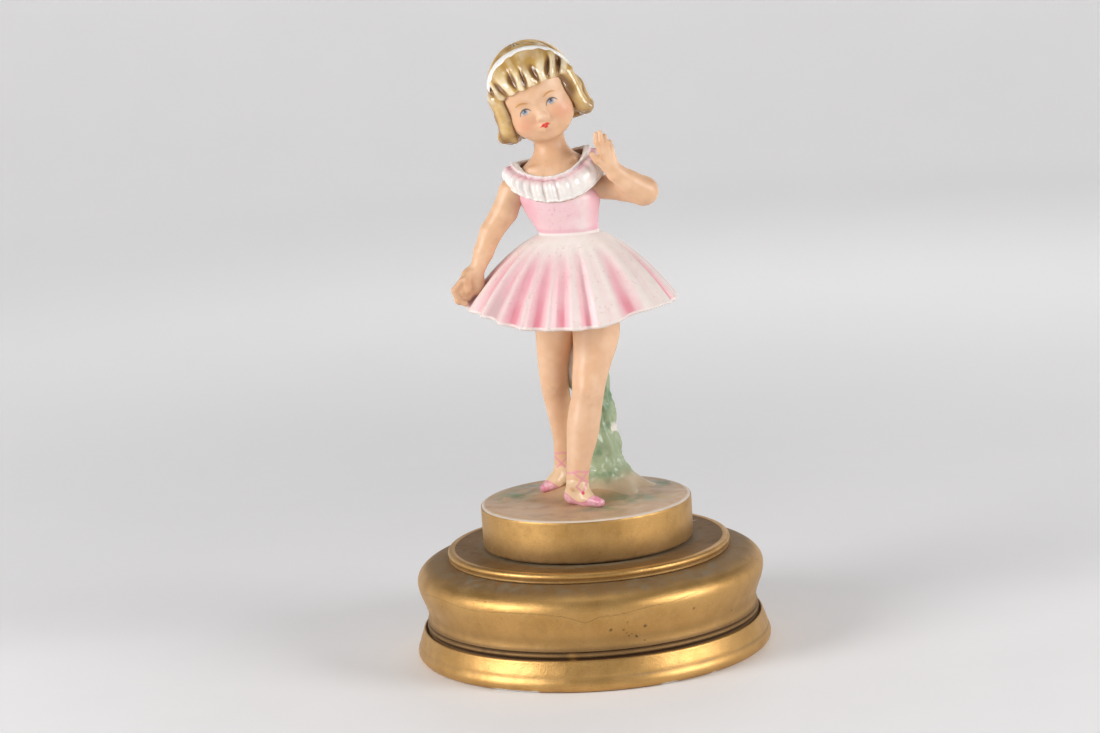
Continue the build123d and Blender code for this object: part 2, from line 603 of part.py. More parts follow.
WORM_TURNS = 4
WORM_TIP_R, WORM_CORE_R = 1.85, 1.0
worm_bottom = GOVERNOR_Z - WORM_PITCH * WORM_TURNS / 2
with BuildPart() as fly_worm:
    with BuildSketch(Plane.XY.offset(BED_Z + 0.6)):
        with Locations((WORM_X, WORM_Y)):
            Circle(FLY_SHAFT_R)
    extrude(amount=FLY_ARM_Z + 1.0 - BED_Z - 0.6)
    with BuildSketch(Plane.XY.offset(worm_bottom - 0.6)):
        with Locations((WORM_X, WORM_Y)):
            Circle(WORM_CORE_R)
    extrude(amount=WORM_PITCH * WORM_TURNS + 1.2)
    # the thread starts on the +X side, a quarter pitch low, so its gap takes the wheel tooth that points at it
    with BuildLine(Plane(origin=(WORM_X, WORM_Y, worm_bottom - WORM_PITCH / 4))) as thread_path:
        Helix(pitch=WORM_PITCH, height=WORM_PITCH * WORM_TURNS, radius=WORM_CORE_R)
    start = thread_path.line @ 0
    out = Vector(start.X - WORM_X, start.Y - WORM_Y, 0).normalized()
    with BuildSketch(Plane(origin=start, x_dir=out, z_dir=thread_path.line % 0)):
        with BuildLine():
            Polyline((-0.2, -0.36), (0.0, -0.36), (WORM_TIP_R - WORM_CORE_R, -0.14),
                     (WORM_TIP_R - WORM_CORE_R, 0.14), (0.0, 0.36), (-0.2, 0.36), close=True)
        make_face()
    sweep(path=thread_path.line, is_frenet=True)
save(fly_worm, "fly_worm")

FLY_R, FLY_Z, FLY_H = 4.2, 16.7, 3.8
with BuildPart() as fly_fan:
    with BuildSketch(Plane.XY.offset(FLY_Z)):
        with Locations((WORM_X, WORM_Y)):
            Circle(1.3)
            Rectangle(2 * FLY_R, 0.5)
            Circle(FLY_SHAFT_R, mode=Mode.SUBTRACT)
    extrude(amount=FLY_H)
save(fly_fan, "fly_fan")


# ---- drum that turns, and the ceramic ground on it ----
GROUND_Z = 52.2  # the ground's own disc rests on the drum
with BuildPart() as turntable_drum:
    with BuildSketch(Plane.XZ):
        with BuildLine():
            Polyline((REBATE_R, DRUM_Z), (DRUM_R, DRUM_Z), (DRUM_R, GROUND_Z), (DRUM_BORE_R - 6, GROUND_Z),
                     (DRUM_BORE_R - 6, GROUND_Z - 2.4), (DRUM_BORE_R, GROUND_Z - 2.4), (DRUM_BORE_R, HUB_Z),
                     (REBATE_R, HUB_Z), close=True)
        make_face()
    revolve(axis=Axis.Z)
save(turntable_drum, "turntable_drum")


def limb(*points):
    """Adds a round tapering limb through (x, y, z, radius) points to the piece, with a ball at each joint."""
    for x, y, z, r in points:
        with Locations((x, y, z)):
            Sphere(r)
    for (*start, start_r), (*end, end_r) in zip(points, points[1:]):
        run = Vector(end) - Vector(start)
        with Locations(Plane(origin=start, z_dir=run)):
            Cone(start_r, end_r, run.length, align=UPWARDS)


def cut_below(z):
    """Removes everything in the piece that is under the level z."""
    with Locations((0, 0, z)):
        Box(200, 200, 200, align=(Align.CENTER, Align.CENTER, Align.MAX), mode=Mode.SUBTRACT)


WAIST_Z = 148.0
HEAD = Location((-8.2, -0.5, 194.0), (0, -18.5, 0))

with BuildPart() as ground_mound:
    with BuildSketch(Plane.XY.offset(GROUND_Z)):
        Circle(DRUM_R - 0.3)
    extrude(amount=DRUM_TOP - GROUND_Z)
    with BuildSketch(Plane.XY.offset(DRUM_TOP - 0.2)):
        with Locations((2.0, 9.0)):
            Ellipse(24.0, 20.0)
    with BuildSketch(Plane.XY.offset(DRUM_TOP + 2.9)):
        with Locations((-1.0, 12.0)):
            Ellipse(17.0, 11.0)
    loft()
save(ground_mound, "ground_mound")

# the shoes stand on the ground, and each leg rises from its shoe
with BuildPart() as left_slipper:
    limb((-4.2, -5.0, 55.6, 2.9), (-1.2, -9.5, 54.9, 2.8), (3.6, -15.0, 54.6, 1.9))
    add(ground_mound.part, mode=Mode.SUBTRACT)
    cut_below(DRUM_TOP)
save(left_slipper, "left_slipper")

with BuildPart() as right_slipper:
    limb((-6.6, 12.0, 59.1, 2.8), (-9.6, 9.6, 58.6, 2.6), (-14.6, 5.6, 57.0, 1.7))
    add(ground_mound.part, mode=Mode.SUBTRACT)
save(right_slipper, "right_slipper")

with BuildPart() as skirt:
    hem = Plane(origin=(-1.0, 1.0, 118.2), x_dir=(1, 0, 0.06), z_dir=(-0.06, -0.05, 1))
    with BuildSketch(hem):
        Ellipse(37.0, 30.0)
    with BuildSketch(hem.offset(4.5)):
        Ellipse(37.5, 30.0)
    with BuildSketch(Plane(origin=(-0.6, 1.0, 137.0), x_dir=(1, 0, 0.03), z_dir=(-0.03, -0.03, 1))):
        Ellipse(23.0, 18.5)
    with BuildSketch(Plane.XY.offset(WAIST_Z)):
        with Locations((0, 0.5)):
            Ellipse(10.6, 8.4)
    loft(ruled=True)
save(skirt, "skirt")

with BuildPart() as left_leg:
    limb((7.0, -0.5, 120.0, 8.0), (7.2, -1.5, 111.5, 7.8), (3.2, -4.0, 93.0, 5.5), (1.0, -4.0, 82.0, 5.7),
              (-2.1, -4.0, 65.5, 3.7), (-3.4, -4.4, 58.5, 3.4))
    add(skirt.part, mode=Mode.SUBTRACT)
    add(left_slipper.part, mode=Mode.SUBTRACT)
    add(ground_mound.part, mode=Mode.SUBTRACT)
save(left_leg, "left_leg")

with BuildPart() as right_leg:
    limb((-5.4, 4.0, 120.0, 7.4), (-6.8, 5.0, 110.5, 6.8), (-8.4, 7.4, 93.0, 4.9), (-7.4, 9.6, 82.0, 4.3),
              (-7.0, 12.2, 68.0, 2.9), (-7.0, 12.4, 62.0, 2.8))
    add(skirt.part, mode=Mode.SUBTRACT)
    add(right_slipper.part, mode=Mode.SUBTRACT)
    add(left_leg.part, mode=Mode.SUBTRACT)
    add(ground_mound.part, mode=Mode.SUBTRACT)
save(right_leg, "right_leg")

STUMP = [(7.0, 12.0, 54.5, 15.0), (6.8, 12.0, 59.0, 11.0), (6.4, 12.0, 66.0, 8.8), (5.8, 11.6, 78.0, 7.2),
         (4.4, 11.0, 92.0, 6.0), (2.6, 10.5, 104.0, 5.0)]
with BuildPart() as tree_stump:
    for x, y, z, r in STUMP:
        with BuildSketch(Plane.XY.offset(z)):
            with Locations((x, y)):
                Circle(r)
    loft()
    add([left_leg.part, right_leg.part, right_slipper.part, left_slipper.part], mode=Mode.SUBTRACT)
    add(ground_mound.part, mode=Mode.SUBTRACT)
save(tree_stump, "tree_stump")

with BuildPart() as bodice:
    with BuildSketch(Plane.XY.offset(WAIST_Z)):
        with Locations((0, 0.5)):
            Ellipse(10.6, 8.4)
    with BuildSketch(Plane.XY.offset(158.0)):
        with Locations((-0.8, 0)):
            Ellipse(14.0, 9.6)
    with BuildSketch(Plane.XY.offset(168.0)):
        with Locations((-3.6, 0)):
            Ellipse(15.0, 9.0)
    with BuildSketch(Plane.XY.offset(172.5)):
        with Locations((-3.8, 0.5)):
            Ellipse(8.0, 6.0)
    loft()
save(bodice, "bodice")

with BuildPart() as collar_ruffle:
    with BuildSketch(Plane(origin=(-4.6, -0.5, 160.6), x_dir=(1, 0, 0.12), z_dir=(-0.12, -0.1, 1))):
        Ellipse(18.2, 12.2)
    with BuildSketch(Plane(origin=(-4.2, 0.0, 167.6), x_dir=(1, 0, 0.14), z_dir=(-0.14, -0.1, 1))):
        Ellipse(17.4, 11.8)
    with BuildSketch(Plane(origin=(-3.9, 0.6, 172.4), x_dir=(1, 0, 0.16), z_dir=(-0.16, -0.1, 1))):
        Ellipse(12.6, 8.4)
    loft()
    add(bodice.part, mode=Mode.SUBTRACT)
save(collar_ruffle, "collar_ruffle")

with BuildPart() as head:
    with Locations(HEAD):
        Sphere(11.4)
        with Locations((0, -1.2, -6.4)):
            Sphere(8.6)
    limb((-7.0, 0.6, 184.0, 5.0), (-4.2, 1.2, 170.0, 5.2))
    add(bodice.part, mode=Mode.SUBTRACT)
    add(collar_ruffle.part, mode=Mode.SUBTRACT)
save(head, "head")

with BuildPart() as hair:
    with Locations(HEAD):
        with Locations((0, 1.6, 4.6)):
            Sphere(16.6)
        with Locations((0, 2.8, -6.0)):
            Cylinder(15.6, 9.0)
        with Locations((0, -14.0, -7.0)):
            Box(24.0, 20.0, 15.0, mode=Mode.SUBTRACT)
    add(head.part, mode=Mode.SUBTRACT)
    add([bodice.part, collar_ruffle.part], mode=Mode.SUBTRACT)
save(hair, "hair")

with BuildPart() as headband:
    with Locations(HEAD):
        with Locations(Location((0, 1.6, 4.6), (-18, 0, 0))):
            Cylinder(17.0, 2.6, rotation=(90, 0, 0))
            Cylinder(16.2, 2.8, rotation=(90, 0, 0), mode=Mode.SUBTRACT)
            with Locations((0, 0, -16.0)):
                Box(40, 20, 26, mode=Mode.SUBTRACT)
    add(hair.part, mode=Mode.SUBTRACT)
save(headband, "headband")

with BuildPart() as right_arm:
    limb((-18.5, 1.0, 166.0, 4.5), (-26.0, -1.0, 150.6, 4.4), (-31.4, -2.0, 138.4, 2.9))
    add([bodice.part, collar_ruffle.part, skirt.part], mode=Mode.SUBTRACT)
save(right_arm, "right_arm")

with BuildPart() as right_hand:
    limb((-32.6, -2.0, 136.2, 3.2), (-36.6, -2.6, 130.4, 4.4), (-38.0, -3.4, 127.8, 3.0))
    add([right_arm.part, skirt.part], mode=Mode.SUBTRACT)
save(right_hand, "right_hand")

with BuildPart() as left_arm:
    limb((9.4, 0.0, 163.6, 4.3), (18.0, -1.4, 162.4, 4.2), (27.2, -3.4, 160.6, 4.6), (16.4, -8.4, 168.2, 3.1))
    add([bodice.part, collar_ruffle.part], mode=Mode.SUBTRACT)
save(left_arm, "left_arm")

with BuildPart() as left_hand:
    limb((15.6, -8.8, 169.4, 3.3), (13.8, -9.6, 175.0, 3.2), (13.4, -9.6, 181.0, 1.9))
    add([left_arm.part, collar_ruffle.part], mode=Mode.SUBTRACT)
save(left_hand, "left_hand")
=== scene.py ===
"""The looks of a revolving musical figurine: a painted porcelain dancer on a gilt, turned-wood base.

Shapes are worked out here in millimetres, in the frame that the CAD nodes have, and become Blender meshes
in metres. Organic pieces are signed-distance fields turned into meshes. Cloth-like pieces and turned pieces
are grids of points. Each piece's painting is a colour attribute, worked out at every vertex, that its
material reads.
"""

import json
import math

import bpy
import numpy as np
import openvdb as vdb
from mathutils import Matrix, Vector

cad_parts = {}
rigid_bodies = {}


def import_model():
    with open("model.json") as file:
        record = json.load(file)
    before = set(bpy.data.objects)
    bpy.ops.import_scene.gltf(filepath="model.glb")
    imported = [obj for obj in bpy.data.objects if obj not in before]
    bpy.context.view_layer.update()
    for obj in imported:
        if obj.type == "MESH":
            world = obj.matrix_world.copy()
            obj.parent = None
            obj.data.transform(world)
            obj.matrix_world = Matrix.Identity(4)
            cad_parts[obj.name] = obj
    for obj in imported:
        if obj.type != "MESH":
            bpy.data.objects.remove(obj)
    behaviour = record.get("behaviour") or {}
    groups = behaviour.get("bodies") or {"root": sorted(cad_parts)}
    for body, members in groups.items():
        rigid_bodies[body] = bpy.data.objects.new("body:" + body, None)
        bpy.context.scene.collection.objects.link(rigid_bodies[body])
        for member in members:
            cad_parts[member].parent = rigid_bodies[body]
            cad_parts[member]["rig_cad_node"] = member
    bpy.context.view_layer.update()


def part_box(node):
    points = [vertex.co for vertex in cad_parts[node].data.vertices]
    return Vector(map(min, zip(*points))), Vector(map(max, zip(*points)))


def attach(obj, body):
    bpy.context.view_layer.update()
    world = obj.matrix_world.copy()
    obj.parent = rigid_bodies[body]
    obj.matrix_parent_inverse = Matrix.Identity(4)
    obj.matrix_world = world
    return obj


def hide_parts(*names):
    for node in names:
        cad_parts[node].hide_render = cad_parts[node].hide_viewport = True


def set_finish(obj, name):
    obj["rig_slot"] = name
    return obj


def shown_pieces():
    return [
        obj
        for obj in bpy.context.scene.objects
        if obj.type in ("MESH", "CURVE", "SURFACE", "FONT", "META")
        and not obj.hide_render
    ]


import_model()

MM = 0.001


# ---------------------------------------------------------------- numbers
def smooth(low, high, value):
    """0 as far as low and 1 from high on, with a soft step between. Where low is above high, it falls."""
    t = np.clip((value - low) / (high - low), 0.0, 1.0)
    return t * t * (3.0 - 2.0 * t)


def mix(a, b, t):
    return a + (b - a) * t


def bell(value, middle, width):
    """1 at the middle, fading evenly on both sides."""
    return np.exp(-(((value - middle) / width) ** 2))


def round_angles(columns):
    """Angles of evenly spaced columns once round, in radians."""
    return np.arange(columns) / columns * 2 * math.pi


def around_base(points):
    """Distance from the base's axis, degrees from the front (positive towards +X) and height of each point."""
    x, y, z = points.T
    return np.hypot(x, y), np.degrees(np.arctan2(x, -y)), z


def noise(points, size, seed):
    """Smooth random values of about -1 to 1 at (n, 3) points, with features about size across."""
    octaves, fade, cells, gain = 3, 0.6, 32, 1.6
    total = np.zeros(len(points))
    weight = 0.0
    for octave in range(octaves):
        lattice = np.random.default_rng(seed + octave).uniform(-1, 1, (cells, cells, cells))

        def corner(a, b, c):
            return lattice[a[:, 0], b[:, 1], c[:, 2]]

        q = points / (size * 0.5**octave) + 100.0
        i = np.floor(q).astype(int)
        f = q - i
        fx, fy, fz = (f * f * (3.0 - 2.0 * f)).T
        i %= cells
        j = (i + 1) % cells
        low = mix(mix(corner(i, i, i), corner(j, i, i), fx), mix(corner(i, j, i), corner(j, j, i), fx), fy)
        high = mix(mix(corner(i, i, j), corner(j, i, j), fx), mix(corner(i, j, j), corner(j, j, j), fx), fy)
        total += mix(low, high, fz) * fade**octave
        weight += fade**octave
    return total / weight * gain


# ---------------------------------------------------------------- meshes
def mesh_object(name, points_mm, faces, material):
    """A smooth-shaded object from points in millimetres and lists of their numbers."""
    mesh = bpy.data.meshes.new(name)
    mesh.from_pydata((points_mm * MM).tolist(), [], faces)
    mesh.materials.append(material)
    mesh.polygons.foreach_set("use_smooth", [True] * len(mesh.polygons))
    mesh.update()
    piece = bpy.data.objects.new(name, mesh)
    bpy.context.scene.collection.objects.link(piece)
    return piece


def paint(piece, name, colours):
    """Stores a colour at each vertex, for the material to read."""
    layer = piece.data.color_attributes.new(name, "FLOAT_COLOR", "POINT")
    rgba = np.ones((len(colours), 4), dtype=np.float32)
    rgba[:, :3] = colours
    layer.data.foreach_set("color", rgba.ravel())


def layered(points, base, layers):
    """A colour at each point: a plain base with (colour, amount at each point) layers laid over it in turn."""
    colours = np.tile(base, (len(points), 1)).astype(float)
    for colour, amount in layers:
        colours += (np.array(colour) - colours) * np.clip(amount, 0.0, 1.0)[:, None]
    return colours


def grid_faces(rows, columns, closed):
    """Quads over a grid whose columns close on themselves, and whose rows do if closed."""
    r = np.arange(rows if closed else rows - 1)[:, None]
    c = np.arange(columns)[None, :]
    r2 = (r + 1) % rows
    c2 = (c + 1) % columns
    quads = np.stack([r * columns + c, r * columns + c2, r2 * columns + c2, r2 * columns + c], axis=-1)
    return quads.reshape(-1, 4).tolist()


def turned(profile, columns, closed=True):
    """Points and faces of an outline of (radius, height) turned about Z."""
    profile = np.asarray(profile)
    angle = round_angles(columns)
    points = np.empty((len(profile), columns, 3))
    points[..., 0] = profile[:, :1] * np.cos(angle)
    points[..., 1] = profile[:, :1] * np.sin(angle)
    points[..., 2] = profile[:, 1:]
    return points.reshape(-1, 3), grid_faces(len(profile), columns, closed)


def ring_piece(name, rows, material, capped=True):
    """A piece from rings of points: its first and last rings are capped, or joined to each other."""
    rows = np.asarray(rows)
    count, columns, _ = rows.shape
    faces = grid_faces(count, columns, closed=not capped)
    if capped:
        faces += [list(range(columns))[::-1], list(range((count - 1) * columns, count * columns))]
    points = rows.reshape(-1, 3)
    return mesh_object(name, points, faces, material), points


def rounded(corners):
    """A closed outline through the corners, evenly filled in and softened where it turns."""
    spacing, passes = 0.3, 2
    corners = np.asarray(corners, dtype=float)
    line = []
    for start, end in zip(corners, np.roll(corners, -1, axis=0)):
        steps = max(1, int(np.linalg.norm(end - start) / spacing))
        line += [start + (end - start) * k / steps for k in range(steps)]
    line = np.array(line)
    for _ in range(passes):
        line = (np.roll(line, 1, axis=0) + 2 * line + np.roll(line, -1, axis=0)) / 4
    return line


def curve_through(points, count):
    """A smooth open curve (Catmull-Rom) through a few points."""
    p = np.asarray(points, dtype=float)
    p = np.vstack([2 * p[0] - p[1], p, 2 * p[-1] - p[-2]])
    out = []
    for t in np.linspace(0, len(points) - 1.000001, count):
        i = int(t)
        f = t - i
        a, b, c, d = p[i], p[i + 1], p[i + 2], p[i + 3]
        bend = (2 * a - 5 * b + 4 * c - d) * f**2 + (3 * b - a - 3 * c + d) * f**3
        out.append(0.5 * (2 * b + (c - a) * f + bend))
    return np.array(out)


# ---------------------------------------------------------------- signed-distance fields
class Field:
    """Distances in millimetres on a block of cells, positive outside the shape."""

    FAR = 50.0
    BAND = 5.0

    def __init__(self, low, high, step):
        self.low = np.array(low, dtype=float)
        self.step = step
        axes = [np.arange(a, b, step, dtype=np.float32) for a, b in zip(low, high)]
        self.x, self.y, self.z = np.meshgrid(*axes, indexing="ij")
        self.d = np.full(self.x.shape, self.FAR, dtype=np.float32)

    def ball(self, centre, radii, turn=None):
        """Distance to an ellipsoid, optionally turned by a 3x3 matrix whose rows are its axes."""
        q = [self.x - centre[0], self.y - centre[1], self.z - centre[2]]
        if turn is not None:
            q = [turn[i][0] * q[0] + turn[i][1] * q[1] + turn[i][2] * q[2] for i in range(3)]
        if np.isscalar(radii):
            return np.sqrt(q[0] ** 2 + q[1] ** 2 + q[2] ** 2) - radii
        k0 = np.sqrt(sum((q[i] / radii[i]) ** 2 for i in range(3)))
        k1 = np.sqrt(sum((q[i] / radii[i] ** 2) ** 2 for i in range(3))) + 1e-6
        return k0 * (k0 - 1.0) / k1

    def rod(self, start, end):
        """Distance to a round rod that tapers from (x, y, z, r) to (x, y, z, r)."""
        run = [end[i] - start[i] for i in range(3)]
        length = sum(v * v for v in run)
        q = [self.x - start[0], self.y - start[1], self.z - start[2]]
        t = np.clip((q[0] * run[0] + q[1] * run[1] + q[2] * run[2]) / length, 0.0, 1.0)
        away = np.sqrt(sum((q[i] - run[i] * t) ** 2 for i in range(3)))
        return away - (start[3] + (end[3] - start[3]) * t)

    def join(self, other, blend=0.0):
        """Adds a shape, with a fillet about blend wide."""
        self.d = soft_min(self.d, other, blend)

    def carve(self, other, blend=0.0):
        """Takes a shape away, with a softened edge about blend wide."""
        self.d = -soft_min(-self.d, other, blend)

    def limb(self, points, blend):
        """Adds tapering rods through a list of (x, y, z, r) points."""
        chain = self.rod(points[0], points[1])
        for a, b in zip(points[1:], points[2:]):
            chain = soft_min(chain, self.rod(a, b), 0.8)
        self.join(chain, blend)

    def mesh(self):
        """The surface as points in millimetres and quads that face outwards."""
        grid = vdb.FloatGrid(self.BAND)
        grid.copyFromArray(np.clip(self.d, -self.BAND, self.BAND))
        points, _, quads = grid.convertToPolygons(0.0, 0.0)
        points = points * self.step + self.low
        p = points[quads]
        volume = np.einsum("ij,ij->i", p[:, 0], np.cross(p[:, 1], p[:, 2])).sum()
        volume += np.einsum("ij,ij->i", p[:, 0], np.cross(p[:, 2], p[:, 3])).sum()
        return points, (quads if volume > 0 else quads[:, ::-1])


def soft_min(a, b, width):
    """The smaller of two values, with a soft turn from one to the other."""
    if width <= 0:
        return np.minimum(a, b)
    h = np.clip(0.5 + 0.5 * (b - a) / width, 0.0, 1.0)
    return b + (a - b) * h - width * h * (1.0 - h)


def moulded(name, field, material, colours):
    """A piece from a field's surface, painted by what colours(points) gives."""
    points, faces = field.mesh()
    piece = mesh_object(name, points, faces.tolist(), material)
    paint(piece, "paint", colours(points))
    return piece


# ---------------------------------------------------------------- materials
class Nodes:
    """A material's node tree, with short calls for what this scene uses."""

    def __init__(self, name):
        self.material = bpy.data.materials.new(name)
        self.material.use_nodes = True
        self.tree = self.material.node_tree
        self.shader = self.tree.nodes["Principled BSDF"]

    def feed(self, socket, value):
        """Gives a socket another node's output, or a number, vector or colour of its own."""
        if isinstance(value, bpy.types.NodeSocket):
            self.tree.links.new(value, socket)
        else:
            socket.default_value = (*value, 1.0) if socket.type == "RGBA" else value

    def set(self, **values):
        for name, value in values.items():
            self.feed(self.shader.inputs[name.replace("_", " ")], value)

    def add(self, kind, inputs, **values):
        """A node with these inputs, by name or number, and these properties."""
        node = self.tree.nodes.new(kind)
        for key, value in values.items():
            setattr(node, key, value)
        for key, value in inputs.items():
            self.feed(node.inputs[key], value)
        return node

    def position(self):
        return self.add("ShaderNodeTexCoord", {}).outputs["Object"]

    def noise(self, size_mm, detail=3.0, roughness=0.55, at=None):
        """Noise with features about size_mm across, as a value of about 0 to 1."""
        inputs = {"Scale": 1.0 / (size_mm * MM), "Detail": detail, "Roughness": roughness,
                  "Vector": at or self.position()}
        return self.add("ShaderNodeTexNoise", inputs).outputs["Fac"]

    def spread(self, value, low, high, to_low=0.0, to_high=1.0):
        inputs = {"Value": value, "From Min": low, "From Max": high, "To Min": to_low, "To Max": to_high}
        return self.add("ShaderNodeMapRange", inputs).outputs["Result"]

    def uneven(self, size_mm, low, high):
        """A value that drifts between low and high over about size_mm."""
        return self.spread(self.noise(size_mm), 0.3, 0.7, low, high)

    def flecks(self, size_mm, low, high, amount):
        """0, and up to amount in small flecks where fine noise passes from low to high."""
        return self.spread(self.noise(size_mm, 2.0), low, high, 0.0, amount)

    def maths(self, operation, a, b):
        return self.add("ShaderNodeMath", {0: a, 1: b}, operation=operation).outputs["Value"]

    def mix_colour(self, factor, a, b, blend="MIX"):
        return self.add("ShaderNodeMix", {0: factor, 6: a, 7: b}, data_type="RGBA", blend_type=blend).outputs[2]

    def painted(self, name="paint"):
        return self.add("ShaderNodeVertexColor", {}, layer_name=name).outputs["Color"]

    def channels(self, name):
        return self.add("ShaderNodeSeparateColor", {"Color": self.painted(name)}).outputs

    def bump(self, height, depth_mm):
        node = self.add("ShaderNodeBump", {"Distance": depth_mm * MM, "Height": height})
        self.set(Normal=node.outputs["Normal"])


def porcelain(name, rough_low, rough_high, coat, grain_mm, grain_depth_mm, subsurface):
    """Painted porcelain: the painting gives its colour, and its gloss varies with the brushwork."""
    m = Nodes(name)
    tone = m.mix_colour(m.uneven(3.0, 0.0, 0.10), m.painted(), (0.55, 0.40, 0.30), "MULTIPLY")
    m.set(Base_Color=m.mix_colour(m.flecks(0.5, 0.68, 0.75, 0.10), tone, (0.35, 0.22, 0.14)),
          Roughness=m.uneven(4.0, rough_low, rough_high), Coat_Weight=coat, Coat_Roughness=0.12,
          Subsurface_Weight=subsurface, Subsurface_Scale=0.0015, Subsurface_Radius=(1.0, 0.55, 0.35))
    m.bump(m.noise(grain_mm), grain_depth_mm)
    return m.material


def gilt(name):
    """Satin gold paint over wood. A colour attribute says where it is grimy, dusty or chipped, and where
    painted shade darkens and dulls the gold.
    """
    m = Nodes(name)
    grime_and_shade, dust, chip = m.channels("wear_and_shade")[0:3]
    gold = m.mix_colour(m.spread(m.noise(9.0, 4.0), 0.3, 0.7), (0.50, 0.28, 0.085), (0.61, 0.36, 0.125))
    gold = m.mix_colour(m.flecks(0.35, 0.55, 0.72, 0.35), gold, (0.78, 0.53, 0.22))
    gold = m.mix_colour(m.flecks(0.8, 0.66, 0.74, 0.45), gold, (0.24, 0.11, 0.03))
    # Dirt and painted shade both darken the gold, dust greys it and chips show the pale ground under the paint.
    dirty_and_shaded = m.mix_colour(grime_and_shade, gold, (0.105, 0.056, 0.023))
    dusty = m.mix_colour(dust, dirty_and_shaded, (0.215, 0.185, 0.13))
    m.set(Base_Color=m.mix_colour(chip, dusty, (0.80, 0.77, 0.70)))
    hidden = m.maths("MINIMUM", 1.0, m.maths("ADD", m.maths("MULTIPLY", dust, 0.9), chip))
    m.set(Metallic=m.maths("MULTIPLY", m.maths("SUBTRACT", 1.0, hidden), m.spread(grime_and_shade, 0.0, 1.0, 0.82, 0.45)))
    dull = m.maths("MULTIPLY", m.maths("ADD", dust, grime_and_shade), 0.25)
    m.set(Roughness=m.maths("ADD", m.uneven(6.0, 0.37, 0.46), dull))
    m.bump(m.maths("ADD", m.noise(0.45), m.maths("MULTIPLY", m.noise(5.0), 2.0)), 0.07)
    return m.material


def metal(name, dark, light, low, high):
    """Machined or plated metal with a fine, uneven grain."""
    m = Nodes(name)
    m.set(Base_Color=m.mix_colour(m.uneven(3.0, 0.0, 1.0), dark, light),
          Roughness=m.uneven(0.8, low, high), Metallic=1.0)
    m.bump(m.noise(0.3), 0.01)
    return m.material


def board(name, dark, light, grain_mm):
    """Raw wood or board, with grain drawn out along X."""
    m = Nodes(name)
    stretched = m.add("ShaderNodeMapping", {"Vector": m.position(), "Scale": (0.08, 1.0, 1.0)})
    grain = m.noise(grain_mm, 6.0, 0.5, stretched.outputs["Vector"])
    m.set(Base_Color=m.mix_colour(m.spread(grain, 0.3, 0.7), dark, light), Roughness=m.uneven(1.0, 0.62, 0.8))
    m.bump(grain, 0.08)
    return m.material


# ---------------------------------------------------------------- the turned base
FOOT_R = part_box("foot_ring")[1][0] / MM
FOOT_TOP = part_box("foot_ring")[1][2] / MM
STEP_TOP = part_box("top_step")[1][2] / MM
DRUM_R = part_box("turntable_drum")[1][0] / MM
DRUM_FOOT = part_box("turntable_drum")[0][2] / MM
DRUM_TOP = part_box("left_slipper")[0][2] / MM
GROUND_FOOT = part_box("ground_mound")[0][2] / MM
RECESS_R = 55.0
CAVITY_R = 49.5
LIP_R = 45.1
DISH_Z = STEP_TOP - 0.3
COLUMNS = 1080


def wear_and_shade_of(grime_and_shade, dust, chip):
    return np.clip(np.stack([grime_and_shade, dust, chip], axis=1), 0.0, 1.0)


def gilt_piece(name, outline, material, node, body, wear_and_shade):
    """A turned gilt piece with slight hand-finished unevenness, its wear and its painted shade."""
    wobble = 0.05
    points, faces = turned(outline, COLUMNS)
    out = np.hypot(points[:, 0], points[:, 1])[:, None]
    points[:, :2] *= 1.0 + wobble * noise(points, 14.0, 11)[:, None] / out
    piece = mesh_object(name, points, faces, material)
    paint(piece, "wear_and_shade", wear_and_shade(points, *around_base(points)))
    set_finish(piece, "gilt_wood")
    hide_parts(node)
    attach(piece, body)


def spots(points, places):
    """Soft-edged marks on a turned piece at (degrees from the front, height, width, strength)."""
    radius, angle, z = around_base(points)
    mark = np.zeros(len(points))
    for degrees, height, width, strength in places:
        away = np.hypot(np.radians(angle - degrees) * radius, z - height)
        away += 0.35 * width * noise(points, width, 31)
        mark = np.maximum(mark, strength * smooth(0.8 * width, 0.55 * width, away))
    return mark


# Where paint is worn off the foot's lower edge, as (start, whole from, whole to, end) in degrees from the front
WORN = [(-36, -33, -20, -18), (20, 21, 25, 27), (39, 39.6, 41, 41.5), (116, 118, 121, 124)]


def foot_wear_and_shade(points, radius, angle, z):
    cloud = noise(points, 7.0, 3)
    groove = bell(z, 4.9, 0.45) * (radius > 60) * (0.35 + 0.65 * smooth(-5, 25, angle))
    # The recessed ledge under the shell, painted dark as shade.
    ledge_shade = smooth(9.4, 10.3, z) * smooth(60.2, 58.9, radius) * (1.0 - 0.35 * smooth(11.2, 12.2, z))
    joint = bell(angle, -7.8, 1.3)
    under = smooth(0.4, 0.0, z)
    inside = smooth(RECESS_R + 1.5, RECESS_R + 0.3, radius)
    # Darker gold from dirt in the groove, painted shade on the ledge, the bottom face, random tone, the joint
    # with the shell and the inside of the recess.
    grime_and_shade = 0.35 * groove + ledge_shade * (1.0 - 0.5 * joint) + 0.4 * under + 0.12 * smooth(0.2, 0.9, cloud)
    grime_and_shade += 0.35 * bell(z, 13.0, 0.5) + 0.8 * inside
    dust = 0.30 * groove * smooth(-0.5, 0.6, cloud) + 0.3 * inside
    edge = sum(smooth(a, b, angle) * smooth(d, c, angle) for a, b, c, d in WORN)
    chip = edge * (1.0 - smooth(0.5, 0.9, z + 0.25 * noise(points, 1.6, 7)))
    chip *= smooth(60.4, 61.2, radius + 0.5 * noise(points, 1.2, 9))
    return wear_and_shade_of(grime_and_shade, dust, chip)


# The edge of an old overcoat round the front of the bulge, as (degrees from the front, height)
COAT_EDGE = [
    (-80, 26.0), (-64, 27.9), (-56, 28.0), (-47, 27.2), (-40, 26.9), (-29.5, 27.4), (-22.6, 27.5),
    (-16, 27.3), (-9.8, 26.5), (-6.7, 25.6), (-4.5, 24.6), (-2.6, 23.9), (-0.2, 24.8), (1.8, 25.9),
    (6.4, 25.9), (10.4, 26.4), (14.4, 27.2), (20, 27.7), (27, 28.1), (37, 29.4), (46, 30.0)]

